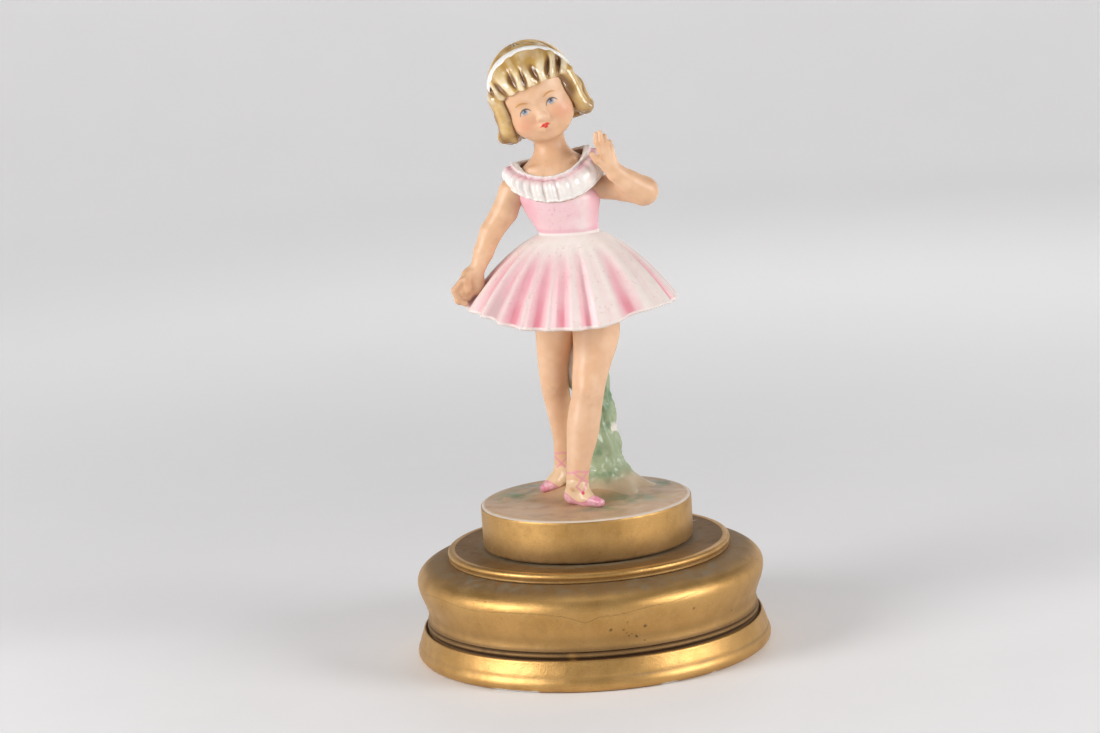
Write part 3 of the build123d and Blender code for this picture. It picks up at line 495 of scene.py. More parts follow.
# Dark specks on the bulge, as (degrees from the front, height, width, strength)
SPECKS = [
    (5.4, 20.5, 0.8, 0.9), (16.8, 20.6, 0.8, 0.9), (34.4, 23.8, 0.7, 0.9), (10.8, 22.8, 0.4, 0.7),
    (9.6, 20.1, 0.5, 0.8), (10.6, 18.9, 0.4, 0.8), (11.4, 17.7, 0.4, 0.8), (14.0, 17.2, 0.6, 0.9),
    (12.5, 18.3, 0.4, 0.7), (16.7, 15.4, 0.5, 0.8), (-36.9, 30.2, 0.5, 0.7), (-58, 25.4, 0.5, 0.6),
    (54.4, 18.1, 0.5, 0.6), (120, 24.0, 0.8, 1), (-110, 22.0, 0.7, 1), (160, 19.0, 0.6, 1)]


def shell_wear_and_shade(points, radius, angle, z):
    cloud = noise(points, 6.0, 5)
    # The upper slope of the bulge, where dust lies and where the gold is darkened as painted shade.
    shoulder = smooth(31.2, 33.6, z + 0.35 * cloud) * (radius > 49.0)
    line = np.interp(angle, *zip(*COAT_EDGE)) + 0.12 * noise(points, 1.2, 8)
    run = bell(z, line, 0.13) * smooth(-80, -60, angle) * smooth(46, 30, angle)
    run *= 0.5 + 0.5 * smooth(-0.4, 0.3, noise(points, 5.0, 6))
    # Darker gold from a dark line at the joint with the foot, the old coat's edge, dark specks and painted
    # shade on the upper slope; then random tone and painted shade in the waist under the bulge.
    grime_and_shade = 0.65 * bell(z, 13.6, 1.1) + 0.55 * run + 0.8 * spots(points, SPECKS) + 0.62 * shoulder
    grime_and_shade += 0.10 * smooth(0.3, 0.9, cloud) + 0.32 * bell(z, 16.5, 2.4)
    dust = shoulder * (0.22 + 0.45 * smooth(-0.2, 0.7, noise(points, 2.6, 10)))
    dust *= 0.6 + 0.5 * smooth(-0.3, 0.5, cloud)
    return wear_and_shade_of(grime_and_shade, dust, 0.0 * z)


def step_wear_and_shade(points, radius, angle, z):
    # The dish's top face, darkened as painted shade, with dust gathered round the drum.
    top = smooth(37.5, 37.8, z) * (radius < 47.5)
    cloud = noise(points, 4.0, 15)
    joint = smooth(DRUM_R + 4.6, DRUM_R + 0.4, radius + 1.3 * cloud)
    # Painted shade in the groove under the rim's bead and over the dish's top face, and random tone.
    grime_and_shade = 0.85 * bell(z, 35.55, 0.25) + top * mix(0.70, 0.6, joint) + 0.10 * smooth(0.2, 0.8, cloud)
    dust = top * joint * (0.35 + 0.45 * smooth(-0.4, 0.5, noise(points, 1.6, 17))) + 0.2 * bell(z, 34.7, 0.2)
    return wear_and_shade_of(grime_and_shade, dust, 0.4 * spots(points, [(118, 37.4, 0.8, 1), (-102, 37.2, 0.9, 1)]))


def drum_wear_and_shade(points, radius, angle, z):
    cloud = noise(points, 3.0, 21)
    foot = smooth(DRUM_FOOT + 1.0, DRUM_FOOT + 0.1, z + 0.4 * cloud)
    rim = smooth(DRUM_TOP - 0.5, DRUM_TOP - 0.1, z + 0.1 * cloud)
    # The lower half of the drum, darkened as painted shade.
    lower = smooth(DRUM_FOOT + 9.5, DRUM_FOOT + 1.5, z + 0.8 * cloud)
    inside = radius < DRUM_R - 1.5
    # Darker gold at the foot, painted shade over the lower half, a dark line at the top edge, random tone and
    # darker inner faces.
    grime_and_shade = 0.3 * foot + 0.60 * lower + 0.25 * rim + 0.12 * smooth(0.2, 0.9, cloud) + 0.5 * inside
    dust = 0.55 * foot * smooth(-0.6, 0.3, cloud)
    return wear_and_shade_of(grime_and_shade, dust, 0.5 * rim * smooth(0.3, 0.6, noise(points, 2.0, 25)))


def build_base():
    gold = gilt("gilt_paint")
    foot = rounded([
        (RECESS_R, FOOT_TOP), (RECESS_R, 0.02), (61.0, 0.0), (61.9, 0.5), (62.6, 1.5), (FOOT_R, 2.6),
        (62.5, 3.8), (62.05, 4.55), (61.75, 4.95), (61.85, 5.5), (61.5, 6.6), (61.0, 8.0), (60.5, 9.4),
        (60.25, 10.3), (60.05, 10.8), (59.6, 10.85), (59.3, 10.1), (58.3, 9.7), (57.8, 10.2), (57.9, 10.9),
        (58.6, 11.2), (58.95, 11.8), (58.75, 12.5), (58.1, 12.9), (57.9, FOOT_TOP)])
    gilt_piece("foot_moulding", foot, gold, "foot_ring", "base", foot_wear_and_shade)
    side = curve_through([
        (58.6, 13.35), (58.2, 15.2), (58.25, 16.8), (58.7, 18.6), (59.35, 20.4), (60.2, 22.6),
        (60.95, 25.0), (61.3, 27.3), (61.0, 29.0), (60.3, 30.3), (59.2, 31.5), (57.6, 32.6), (55.6, 33.5),
        (53.4, 34.1), (51.0, 34.5), (48.0, 34.6)], 120)
    inside = [(LIP_R, 34.6), (LIP_R, 33.0), (CAVITY_R, 33.0), (CAVITY_R, 13.35)]
    gilt_piece("bulged_shell", np.vstack([side, inside]), gold, "body_shell", "base", shell_wear_and_shade)
    step = rounded([
        (4.6, DISH_Z), (4.6, 34.02), (45.0, 34.02), (45.0, 34.6), (49.2, 34.6), (49.75, 34.75),
        (49.85, 35.05), (49.5, 35.45), (49.35, 35.6), (49.6, 36.0), (49.95, 36.6), (49.95, 37.2),
        (49.6, 37.8), (49.0, STEP_TOP), (48.2, 38.18), (47.0, 38.05), (45.0, DISH_Z + 0.03), (40.0, DISH_Z)])
    gilt_piece("dished_step", step, gold, "top_step", "base", step_wear_and_shade)
    drum = rounded([
        (33.0, DRUM_FOOT), (DRUM_R - 0.5, DRUM_FOOT), (DRUM_R - 0.1, DRUM_FOOT + 0.4),
        (DRUM_R, DRUM_FOOT + 3.0), (DRUM_R, DRUM_TOP - 1.0), (DRUM_R - 0.05, DRUM_TOP - 0.5),
        (DRUM_R - 0.15, DRUM_TOP - 0.35), (DRUM_R - 0.28, DRUM_TOP - 0.5), (DRUM_R - 0.3, GROUND_FOOT),
        (26.0, GROUND_FOOT), (26.0, GROUND_FOOT - 2.4), (32.0, GROUND_FOOT - 2.4), (32.0, 41.3),
        (33.0, 41.3)])
    gilt_piece("gilt_drum", drum, gold, "turntable_drum", "turntable", drum_wear_and_shade)


# ---------------------------------------------------------------- the dancer's frame
# The head tilts to her right and turns a little the same way. Its own axes are right, forward and up as she is
# seen from the front, measured from the middle of her eye line.
TILT = math.radians(20.2)
TURN = math.radians(2.0)
HEAD_AT = np.array([-7.4, -0.6, 193.4])
HEAD_UP = np.array([-math.sin(TILT), 0.0, math.cos(TILT)])
UNTURNED_SIDE = np.array([math.cos(TILT), 0.0, math.sin(TILT)])
STRAIGHT_AHEAD = np.array([0.0, -1.0, 0.0])
HEAD_SIDE = UNTURNED_SIDE * math.cos(TURN) + STRAIGHT_AHEAD * math.sin(TURN)
HEAD_FRONT = STRAIGHT_AHEAD * math.cos(TURN) - UNTURNED_SIDE * math.sin(TURN)
HEAD_AXES = np.array([HEAD_SIDE, HEAD_FRONT, HEAD_UP])
# Her shoulder line rises to her left
SHRUG = math.radians(10.0)
SHOULDER_AXES = np.array([[math.cos(SHRUG), 0, math.sin(SHRUG)],
                          [0, 1, 0],
                          [-math.sin(SHRUG), 0, math.cos(SHRUG)]])

SKIN = (0.77, 0.475, 0.285)
SKIN_SHADE = (0.56, 0.29, 0.15)
BLUSH = (0.78, 0.29, 0.17)


def head_point(right, forward, height):
    return tuple(HEAD_AT + right * HEAD_SIDE + forward * HEAD_FRONT + height * HEAD_UP)


def head_coordinates(points):
    return (points - HEAD_AT) @ HEAD_AXES.T


def near(local, right, height, width, tall, turn=0.0):
    """A soft oval patch on the face: 1 at its middle, 0 beyond its edge."""
    a = local[:, 0] - right
    u = local[:, 2] - height
    c, s = math.cos(math.radians(turn)), math.sin(math.radians(turn))
    away = np.hypot((a * c + u * s) / width, (u * c - a * s) / tall)
    return 1.0 - smooth(0.75, 1.15, away)


def haze(local, right, height, width, tall):
    """A wide patch that fades evenly, as sprayed colour does."""
    return np.exp(-((local[:, 0] - right) / width) ** 2 - ((local[:, 2] - height) / tall) ** 2)


def stroke(local, at, points, width):
    """A brush stroke on the face through (right, height, thickness) points, counted from at to the right."""
    best = np.full(len(local), 9.0)
    for right, height, thick in curve_through([(at + a, u, t) for a, u, t in points], 40):
        best = np.minimum(best, np.hypot(local[:, 0] - right, local[:, 2] - height) - thick)
    return 1.0 - smooth(-0.3 * width, width, best)


def head_field(f):
    """Skull, cheeks, chin, brow, nose, lips and neck."""
    def ball(right, forward, height, radii):
        return f.ball(head_point(right, forward, height), radii, HEAD_AXES)

    f.join(ball(0, -1.0, 7.0, (13.0, 13.0, 13.6)))
    f.join(ball(0, 0.8, -0.6, (11.0, 9.8, 11.7)), 3.0)
    f.join(ball(0, 2.6, 6.4, (9.6, 8.6, 6.0)), 3.0)
    for sign in (-1, 1):
        f.join(ball(sign * 5.3, 3.6, -4.2, (5.4, 5.6, 5.0)), 3.0)
        f.join(ball(sign * 3.4, 3.6, -7.6, (4.2, 4.6, 4.0)), 2.5)
    f.join(ball(0, 6.0, -10.0, (3.0, 2.9, 2.4)), 2.2)
    for sign in (-1, 1):
        f.carve(ball(sign * 4.9, 12.0, 0.5, (3.3, 2.0, 2.2)), 1.6)
        f.join(ball(sign * 4.9, 7.6, 0.1, (2.7, 2.6, 2.1)), 0.7)
    f.limb([(*head_point(0, 9.2, 0.0), 1.1), (*head_point(0, 10.9, -3.2), 1.35)], 1.4)
    f.join(ball(0, 11.1, -3.7, (1.65, 1.35, 1.25)), 0.8)
    for sign in (-1, 1):
        f.join(ball(sign * 1.35, 10.2, -4.2, (0.85, 1.0, 0.75)), 0.6)
    f.join(ball(0, 8.6, -7.0, (3.4, 2.2, 2.4)), 1.6)
    for sign in (-1, 1):
        f.join(ball(sign * 0.85, 10.35, -6.55, (1.15, 0.75, 0.5)), 0.35)
    f.join(ball(0, 10.2, -7.45, (1.35, 0.8, 0.55)), 0.35)
    f.carve(ball(0, 11.3, -7.0, (1.7, 0.7, 0.10)), 0.25)
    f.join(f.rod((-5.4, 1.8, 186.0, 5.3), (-3.9, 1.4, 172.5, 5.6)), 2.6)
    f.join(f.ball((-3.9, 1.3, 167.7), (14.8, 9.8, 7.7), SHOULDER_AXES), 5.5)
    for sign in (-1, 1):
        inner = (-4.0 + sign * 2.0, -5.6, 171.6 + sign * 0.4, 0.5)
        outer = (-4.0 + sign * 8.0, -4.4, 172.8 + sign * 1.4, 0.5)
        f.limb([inner, outer], 1.6)


def head_colours(points):
    q = head_coordinates(points)
    on_face = smooth(3.0, 6.5, q[:, 1]) * smooth(-13.5, -11.0, q[:, 2])
    layers = [((0.86, 0.60, 0.41), 0.45 * smooth(-0.2, 0.9, noise(points, 5.0, 41)))]
    layers += [(BLUSH, 0.55 * on_face * haze(q, sign * 6.6, -4.4, 3.6, 2.9)) for sign in (-1, 1)]
    # A painted highlight on the nose, painted shadow under the chin, painted shadow of the fringe along the top
    # of the forehead and painted shade under the lower lip.
    layers += [((0.93, 0.70, 0.52), 0.5 * on_face * haze(q, 0, -3.4, 1.7, 2.4)),
               (SKIN_SHADE, 0.5 * (1 - on_face) * haze(q, -2, -14.5, 9.0, 3.2)),
               (SKIN_SHADE, 0.35 * on_face * haze(q, 0, 7.6, 9.5, 1.4)),
               ((0.72, 0.40, 0.26), 0.5 * on_face * haze(q, 0.1, -8.9, 1.6, 0.5))]
    for sign in (-1, 1):
        layers += [((0.70, 0.40, 0.25), 0.5 * on_face * haze(q, sign * 1.35, -4.7, 0.55, 0.4))]
        layers += [(colour, amount * on_face) for colour, amount in eye(q, sign)]
    parting = [(-2.2, -6.75, 0.02), (-1.0, -6.9, 0.1), (0.5, -6.9, 0.1), (1.6, -6.7, 0.02)]
    lips = np.max([near(q, -0.95, -6.5, 0.9, 0.42, 14), near(q, 0.45, -6.5, 0.9, 0.42, -14),
                   near(q, -0.2, -7.3, 0.75, 0.5), stroke(q, 0.0, parting, 0.2)], axis=0)
    dirt = smooth(0.55, 0.75, noise(points, 1.1, 77)) * (q[:, 2] < -11.0)
    layers += [((0.66, 0.012, 0.012), 0.97 * lips * on_face), ((0.52, 0.34, 0.20), 0.35 * dirt)]
    return layered(points, SKIN, layers)


def eye(q, sign):
    """The layers of an eye: almond, blue-grey iris, its paler lower half, pupil, glint, lids and brow."""
    x = sign * 4.9
    iris = near(q, x - 0.1, -0.05, 0.98, 0.92) * smooth(-0.95, -0.75, q[:, 2])
    upper = stroke(q, x, [(-2.15, -0.85, 0.03), (-1.5, 0.2, 0.13), (-0.5, 0.82, 0.22), (0.6, 0.86, 0.22),
                          (1.5, 0.35, 0.13), (2.1, -0.35, 0.03)], 0.2)
    lower = stroke(q, x, [(-1.2, -0.95, 0.0), (0.0, -1.12, 0.02), (1.2, -0.9, 0.0)], 0.22)
    brow = stroke(q, x, [(sign * -1.8, 2.5, 0.06), (sign * -0.2, 3.1, 0.20), (sign * 1.2, 3.1, 0.16),
                         (sign * 2.3, 2.7, 0.03)], 0.32)
    return [((0.70, 0.60, 0.56), 0.75 * near(q, x, -0.15, 1.75, 0.78, sign * 4)),
            ((0.20, 0.27, 0.36), 0.92 * iris),
            ((0.36, 0.44, 0.54), 0.7 * near(q, x + 0.1, -0.5, 0.62, 0.36)),
            ((0.025, 0.03, 0.045), 0.95 * near(q, x - 0.1, 0.22, 0.5, 0.48)),
            ((0.9, 0.9, 0.9), 0.9 * near(q, x - 0.38, 0.28, 0.2, 0.2)),
            ((0.045, 0.045, 0.06), 0.93 * upper),
            ((0.45, 0.26, 0.20), 0.5 * lower),
            ((0.60, 0.26, 0.04), 0.95 * brow)]


def build_head(skin):
    f = Field((-27, -14, 158), (17, 20, 214), 0.24)
    head_field(f)
    return moulded("head_and_neck", f, skin, head_colours)


# ---------------------------------------------------------------- hair and headband
CAP_AT = (0.0, -2.2, 7.4)
CAP_R = 15.0


def hair_shape(f):
    """A smooth bob: the cap, the side locks with flipped ends, the back and the fringe."""
    def lock(route, blend):
        f.limb([(*head_point(*place), radius) for *place, radius in route], blend)

    f.join(f.ball(head_point(*CAP_AT), (CAP_R, CAP_R - 0.2, CAP_R), HEAD_AXES))
    f.join(f.ball(head_point(0, -5.0, -0.5), (14.2, 11.5, 9.0), HEAD_AXES), 3.0)
    lock([(-12.4, 3.4, 7.0, 3.2), (-12.9, 3.6, 1.0, 2.9), (-13.3, 3.4, -3.4, 3.0), (-15.2, 2.8, -5.6, 2.3),
          (-12.6, 2.6, -7.4, 2.0)], 2.2)
    lock([(12.4, 3.4, 7.0, 3.2), (12.7, 3.6, 0.0, 2.8), (13.2, 3.2, -5.2, 2.9), (15.7, 2.8, -7.6, 1.8)], 2.2)
    for sign in (-1, 1):
        lock([(sign * 12.4, -4.0, 0.0, 4.2), (sign * 12.8, -4.6, -4.0, 3.6),
              (sign * 15.0, -5.2, -7.0, 2.0)], 3.0)
        lock([(sign * 6.0, -12.0, -1.0, 4.2), (sign * 6.4, -12.6, -6.0, 3.2),
              (sign * 7.2, -15.2, -8.6, 1.7)], 3.0)
    lock([(-14.6, -1.0, -6.6, 2.1), (-12.0, -12.0, -8.4, 1.9), (0, -16.0, -8.8, 1.9), (12.0, -12.0, -8.6, 1.9),
          (14.6, -1.0, -8.0, 1.9)], 2.4)
    lock([(-9.5, 7.2, 9.8, 2.2), (-4.5, 9.6, 10.0, 2.4), (0.5, 10.4, 10.1, 2.4), (5.2, 9.6, 9.9, 2.3),
          (9.8, 7.0, 9.2, 2.1)], 2.6)


def hair_locks(a, w, u):
    """How far in the fringe, how deep in a groove and how near a ridge a point at head coordinates is."""
    fringe = smooth(1.0, 4.0, w) * smooth(5.6, 7.6, u)
    across = a * (1.0 - 0.028 * (u - 8.0)) + 0.35 * np.sin(u * 0.45 + a * 0.5) + 0.5 * np.sin(a * 0.55 + 1.0)
    wave = np.abs(np.sin(across * 0.80 + 0.5))
    low = bell(u - 11.0 - 0.8 * np.sin(across * 0.9), 0.0, 2.7) * (0.8 + 0.2 * np.sin(across * 1.7 + 0.6))
    around = np.arctan2(w + 2.0, a)
    bend = 0.8 * np.sin(around * 3.1 + 0.7) + 0.35 * np.sin(u * 0.30 + around * 3.0) + 0.2 * np.sin(u * 0.7)
    strand = np.abs(np.sin(around * 9.0 + bend))
    strand = mix(strand, 1.0, 0.12 + 0.2 * np.sin(around * 5.3 + u * 0.16))
    groove = mix(0.75 * (1.0 - strand) ** 1.2, (1.0 - wave) ** 0.95 * (0.14 + 1.05 * low), fringe)
    return fringe, groove, mix(strand, wave, fringe)


def build_hair(glaze):
    f = Field((-31, -17, 177), (17, 24, 220), 0.26)
    hair_shape(f)
    away = (f.x - HEAD_AT[0], f.y - HEAD_AT[1], f.z - HEAD_AT[2])
    a, w, u = (sum(HEAD_AXES[i][k] * away[k] for k in range(3)) for i in range(3))
    fringe, groove, _ = hair_locks(a, w, u)
    f.d += groove * mix(0.9, 1.55, fringe) - mix(0.2, 0.45, fringe)
    half_width = 10.5 + 0.7 * smooth(-1.0, -5.0, u)
    sides = np.abs(a - 0.1) - half_width
    top = u - 7.2 - 0.25 * np.sin(a * 1.25 + 0.6)
    face = -soft_min(-sides, -top, 3.0)
    face = -soft_min(-face, w - 1.5, 2.0)
    f.carve(face, 0.6)
    f.carve(f.ball(head_point(0, 0.5, -9.8), (11.4, 11.0, 6.2), HEAD_AXES), 1.0)
    return moulded("bobbed_hair", f, glaze, hair_colours)


def hair_colours(points):
    a, w, u = head_coordinates(points).T
    fringe, groove, ridge = hair_locks(a, w, u)
    cloud = noise(points, 3.5, 51)
    behind_face = (1.0 - smooth(10.6, 12.4, np.abs(a))) * smooth(1.0, 4.0, w) * (1.0 - fringe)
    return layered(points, (0.60, 0.365, 0.105), [
        # Painted highlights: pale ridges, strongest on the fringe.
        ((0.88, 0.72, 0.42), smooth(0.45, 0.95, ridge) * (0.30 + 0.50 * fringe + 0.30 * cloud)),
        # Painted shade: dark brown down the grooves.
        ((0.235, 0.115, 0.04), 1.6 * smooth(0.08, 0.55, groove + 0.06 * cloud) * mix(0.6, 1.0, fringe)),
        # Painted shade at the lower ends of the locks.
        ((0.30, 0.16, 0.045), 0.75 * smooth(-3.5, -8.5, u) * (0.7 + 0.5 * cloud)),
        # Painted shade inside the side locks next to the face.
        ((0.26, 0.135, 0.04), 0.6 * behind_face),
        # Painted shade on the fringe just under the headband.
        ((0.42, 0.25, 0.07), 0.55 * smooth(13.0, 15.8, u) * fringe),
        # Painted highlights: cream-white on the fringe's ridges below the band.
        ((0.93, 0.83, 0.62), 0.6 * fringe * smooth(0.6, 0.95, ridge) * smooth(14.5, 11.5, u)),
        ((0.40, 0.235, 0.075), 0.5 * smooth(0.2, 0.8, noise(points, 6.0, 57)))])


def build_headband(glaze):
    """A white band over the cap that sinks into the hair at both ends."""
    rings, columns, span = 150, 17, 166.0
    lean = math.radians(28.0)
    ahead = np.array([0.0, math.cos(lean), -math.sin(lean)])
    offset = 1.4
    s = 2 * math.pi * np.arange(columns)[:, None] / columns
    rows = []
    for degrees in np.linspace(0.0, span, rings):
        t = math.radians(degrees)
        radial = np.array([math.cos(t), math.sin(lean) * math.sin(t), math.cos(lean) * math.sin(t)])
        half = mix(0.85, 2.0, 0.5 - 0.5 * math.cos(t))
        sunk = 1.3 * (1.0 - smooth(0.0, 10.0, min(degrees, span - degrees)))
        centre = np.array(CAP_AT) + radial * (CAP_R - 0.05) + ahead * offset
        ring = centre + ahead * half * np.cos(s) + radial * (0.5 * np.sin(s) - sunk - 0.10 * half * np.cos(s))
        rows.append(HEAD_AT + ring @ HEAD_AXES)
    piece, p = ring_piece("headband_glaze", rows, glaze)
    paint(piece, "paint", layered(p, (0.90, 0.885, 0.86), [
        ((0.74, 0.62, 0.42), 0.35 * smooth(0.3, 0.8, noise(p, 2.5, 61)))]))
    return piece


# ---------------------------------------------------------------- dress
WAIST_Z = 147.8
NECK_AT = np.array([-4.0, 0.4, 172.0])


def build_ruffle(glaze):
    """A gathered collar that lies round the shoulders: flutes open out from its drawn-in neck edge."""
    columns, rows = 720, 46
    turn = round_angles(columns)
    dip = np.clip(-np.sin(turn), 0, 1) ** 1.5
    rise = np.clip(np.sin(turn), 0, 1) ** 1.5
    even = np.sin(turn * 25 + 1.3 * np.sin(turn * 3 + 0.4) + 0.9 * np.sin(turn * 5))
    flute = 0.62 * even + 0.38 * np.sin(turn * 41 + 2.0 * np.sin(turn * 4 + 1.0))
    lively = np.clip(-np.cos(turn) - 0.5 * np.sin(turn), 0, 1)
    strength = 0.32 + 0.95 * lively * (0.75 + 0.35 * np.sin(turn * 7 + 0.6)) + 0.35 * rise
    outer, inner = [], []
    shares = [k / (rows - 1) for k in range(rows)]
    for s in shares:
        width = mix(12.7, 17.3, s**0.8)
        depth = mix(8.6, 12.3, s**0.8)
        height = mix(3.5 - 6.4 * dip - 0.8 * rise, -4.3 - 7.2 * dip - 1.6 * rise - 1.2 * np.cos(turn), s)
        swell = 1.9 * math.sin(math.pi * min(1.0, s * 1.08)) ** 0.8
        frill = strength * flute * (0.25 + 0.75 * s) * 0.8 * (1.0 - 0.55 * smooth(0.75, 1.0, s))
        out = swell + frill + 0.45 * bell(s, 0.04, 0.05) - 0.65 * bell(s, 0.17, 0.07)
        for shift, keep in ((0.0, outer), (-1.5, inner)):
            r = out + shift
            local = np.stack([(width + r) * np.cos(turn), (depth + r) * np.sin(turn),
                              height + 0.55 * r + 0.35 * frill], axis=1)
            keep.append(NECK_AT + local @ SHOULDER_AXES)
    piece, p = ring_piece("ruffled_collar", outer + inner[::-1], glaze, capped=False)
    s = np.repeat(np.array(shares + shares[::-1]), columns)
    valley = np.tile(smooth(0.1, 0.9, -flute * strength), 2 * rows)
    within = np.arange(len(p)) >= rows * columns
    paint(piece, "paint", layered(p, (0.865, 0.825, 0.79), [
        ((0.72, 0.27, 0.38), 0.85 * bell(s, 0.2, 0.09) * smooth(-0.5, 0.5, noise(p, 4.0, 71))),
        ((0.82, 0.52, 0.56), 0.55 * smooth(0.62, 0.2, s) * smooth(0.08, 0.15, s)),
        # Painted shade down the valleys between the flutes.
        ((0.60, 0.47, 0.44), 0.62 * valley * smooth(0.25, 0.6, s) * (1.0 - 0.6 * smooth(0.75, 0.95, s))),
        # Painted shade on the collar's inner side.
        ((0.70, 0.47, 0.33), 0.85 * within * smooth(0.03, 0.12, s))]))
    return piece


# The bodice's rings, as (height, middle, half width, half depth)
BODICE = [
    (146.6, 0.1, 10.4, 8.3), (147.6, 0.1, 10.55, 8.4), (149.2, -0.2, 10.7, 8.5), (152.0, -0.9, 11.5, 9.1),
    (155.0, -1.6, 12.6, 9.8), (158.5, -2.1, 13.7, 10.4), (161.5, -2.7, 14.2, 10.1),
    (164.5, -3.4, 12.6, 8.4), (166.5, -4.0, 8.0, 5.0)]


def build_bodice(glaze):
    columns = 300
    turn = round_angles(columns)
    rows = []
    for z, x, wide, deep in curve_through(BODICE, 110):
        r = 1.0 + 0.05 * bell(z, 160.5, 3.5) * np.clip(-np.sin(turn), 0, 1) ** 2
        ring = [x + wide * r * np.cos(turn), 0.5 + deep * r * np.sin(turn), np.full(columns, z)]
        rows.append(np.stack(ring, axis=1))
    piece, p = ring_piece("pink_bodice", rows, glaze)
    x, y, z = p.T
    cloud = noise(p, 5.0, 81)
    pale = bell(x + 0.2 * (z - 155), 4.5, 4.0) * (y < 2)
    speck = smooth(0.52, 0.72, noise(p, 0.9, 85)) * bell(x, -4.0, 6.0) * bell(z, 155.0, 4.5)
    paint(piece, "paint", layered(p, (0.85, 0.585, 0.615), [
        ((0.875, 0.74, 0.735), 0.75 * pale * smooth(-0.7, 0.7, cloud)),
        ((0.78, 0.37, 0.46), 0.6 * smooth(7.0, 12.0, np.abs(x + 1.5))),
        ((0.74, 0.35, 0.44), 0.5 * smooth(151.0, 149.4, z + 0.5 * cloud)),
        ((0.88, 0.79, 0.765), 1.0 - smooth(148.5, 149.1, z + 0.1 * cloud)),
        ((0.70, 0.22, 0.33), 0.6 * speck)]))
    return piece


# Pleat grooves as (degrees from her right side round the front, half width in degrees, depth, how pink)
FRONT_GROOVES = [
    (9, 4.0, 1.2, 0.55), (25, 4.6, 1.7, 0.8), (39, 5.4, 2.0, 0.6), (54, 5.0, 2.0, 0.95),
    (62.5, 1.8, 0.5, 0.2), (69.5, 4.8, 2.1, 1.0), (83, 5.0, 2.2, 1.0), (98.5, 3.8, 2.2, 1.0),
    (111, 3.0, 0.35, 0.1), (124.5, 6.2, 2.0, 1.0), (143, 4.0, 0.35, 0.1), (163, 3.6, 1.7, 1.0)]


def skirt_pleats(degrees):
    """Groove depth in millimetres, and how pink it is, round the skirt."""
    back = [(181 + 13.8 * k, 4.4, 1.2 + 0.5 * math.sin(k * 2.1) ** 2, 0.55 + 0.3 * math.sin(k * 1.7))
            for k in range(13)]
    depth = np.zeros_like(degrees)
    pink = np.zeros_like(degrees)
    for middle, width, deep, colour in FRONT_GROOVES + back:
        gap = (degrees - middle + 180) % 360 - 180
        shape = np.exp(-np.abs(gap / width) ** 2.8)
        depth = np.maximum(depth, deep * shape)
        pink = np.maximum(pink, colour * shape)
    return depth, pink


def skirt_rings(turn, depth, hem_z, rows):
    """The skirt's rings of points from the waist to the hem, round its lip and in under it."""
    wide, deep = 37.4, 29.2

    def ring(s, inset=0.0, lift=0.0):
        reach = s + 0.03 * math.sin(math.pi * s)
        flute = depth * smooth(0.02, 0.55, s) * mix(0.35, 1.0, s)
        x = 0.1 + (mix(10.5, wide, reach) - flute - inset) * np.cos(turn) - 0.6 * s
        y = 0.5 + (mix(8.4, deep, reach) - flute - inset) * np.sin(turn) + 0.5 * s
        z = mix(WAIST_Z, hem_z, s**1.33) - 0.45 * flute + lift
        return np.stack([x, y, z], axis=1)

    outside = [ring(k / (rows - 1)) for k in range(rows)]
    lip = [ring(1.0, inset, lift) for inset, lift in ((0.15, -0.45), (0.7, -0.8), (1.4, -0.75), (2.0, -0.35))]
    under = []
    for share, lift in ((0.90, 0.8), (0.84, 2.0), (0.72, 3.2), (0.5, 4.4), (0.25, 5.2), (0.02, 5.5)):
        x, y, z = ring(1.0).T
        under.append(np.stack([x * share, 1.0 + y * share, mix(z, 121.0, 1 - share) + lift], axis=1))
    return outside + lip + under


def build_skirt(glaze):
    """A flared, fluted skirt with a thick scalloped hem, closed underneath."""
    columns, rows = 900, 110
    degrees = np.arange(columns) / columns * 360
    turn = np.radians(degrees + 180)
    depth, pink = skirt_pleats(degrees)
    hem_z = 118.0 + 6.0 * np.abs(np.cos(turn)) ** 2.2 - 0.5 * np.cos(turn) + 0.40 * depth
    hem_z += 0.3 * np.sin(turn * 7 + 0.8) + 1.9 * bell(degrees, 128, 24) + 0.5 * bell(degrees, 152, 7)
    rings = skirt_rings(turn, depth, hem_z, rows)
    piece, p = ring_piece("pleated_skirt", rings, glaze)
    s = np.repeat(np.minimum(np.arange(len(rings)) / (rows - 1), 1.0), columns)
    around = np.tile(degrees, len(rings))
    pink = np.tile(pink, len(rings))
    streak = noise(np.stack([around * 0.35, s * 6, s * 0], axis=1), 3.0, 95)
    right_hand_side = 1.0 - smooth(85, 125, around) * smooth(200, 175, around)
    wash = (0.28 + 0.5 * right_hand_side) * smooth(0.12, 0.5, s) * (0.75 + 0.35 * streak)
    wash *= 1.0 - 0.45 * bell(pink, 0.0, 0.25) * smooth(0.35, 0.8, s)
    deep_pink = smooth(0.75, 1.0, pink) * smooth(0.62, 0.97, s)
    worn = bell(around, 153, 11.0) * smooth(0.55, 0.9, s) * smooth(-0.1, 0.6, noise(p, 6.0, 91))
    rim = np.arange(len(p)) >= (rows - 2) * columns
    paint(piece, "paint", layered(p, (0.865, 0.80, 0.755), [
        ((0.83, 0.56, 0.59), wash),
        ((0.84, 0.38, 0.45), 0.95 * pink**0.8 * smooth(0.15, 0.65, s) * (0.85 + 0.3 * streak)),
        ((0.72, 0.16, 0.22), 0.62 * deep_pink * (0.8 + 0.5 * streak)),
        ((0.50, 0.37, 0.36), 0.6 * bell(around, 39, 4.5) * smooth(0.6, 0.95, s)),
        ((0.72, 0.60, 0.50), 0.4 * worn),
        ((0.84, 0.76, 0.71), 0.8 * rim),
        ((0.55, 0.30, 0.22), 0.3 * smooth(0.66, 0.8, noise(p, 1.0, 99)))]))
    return piece


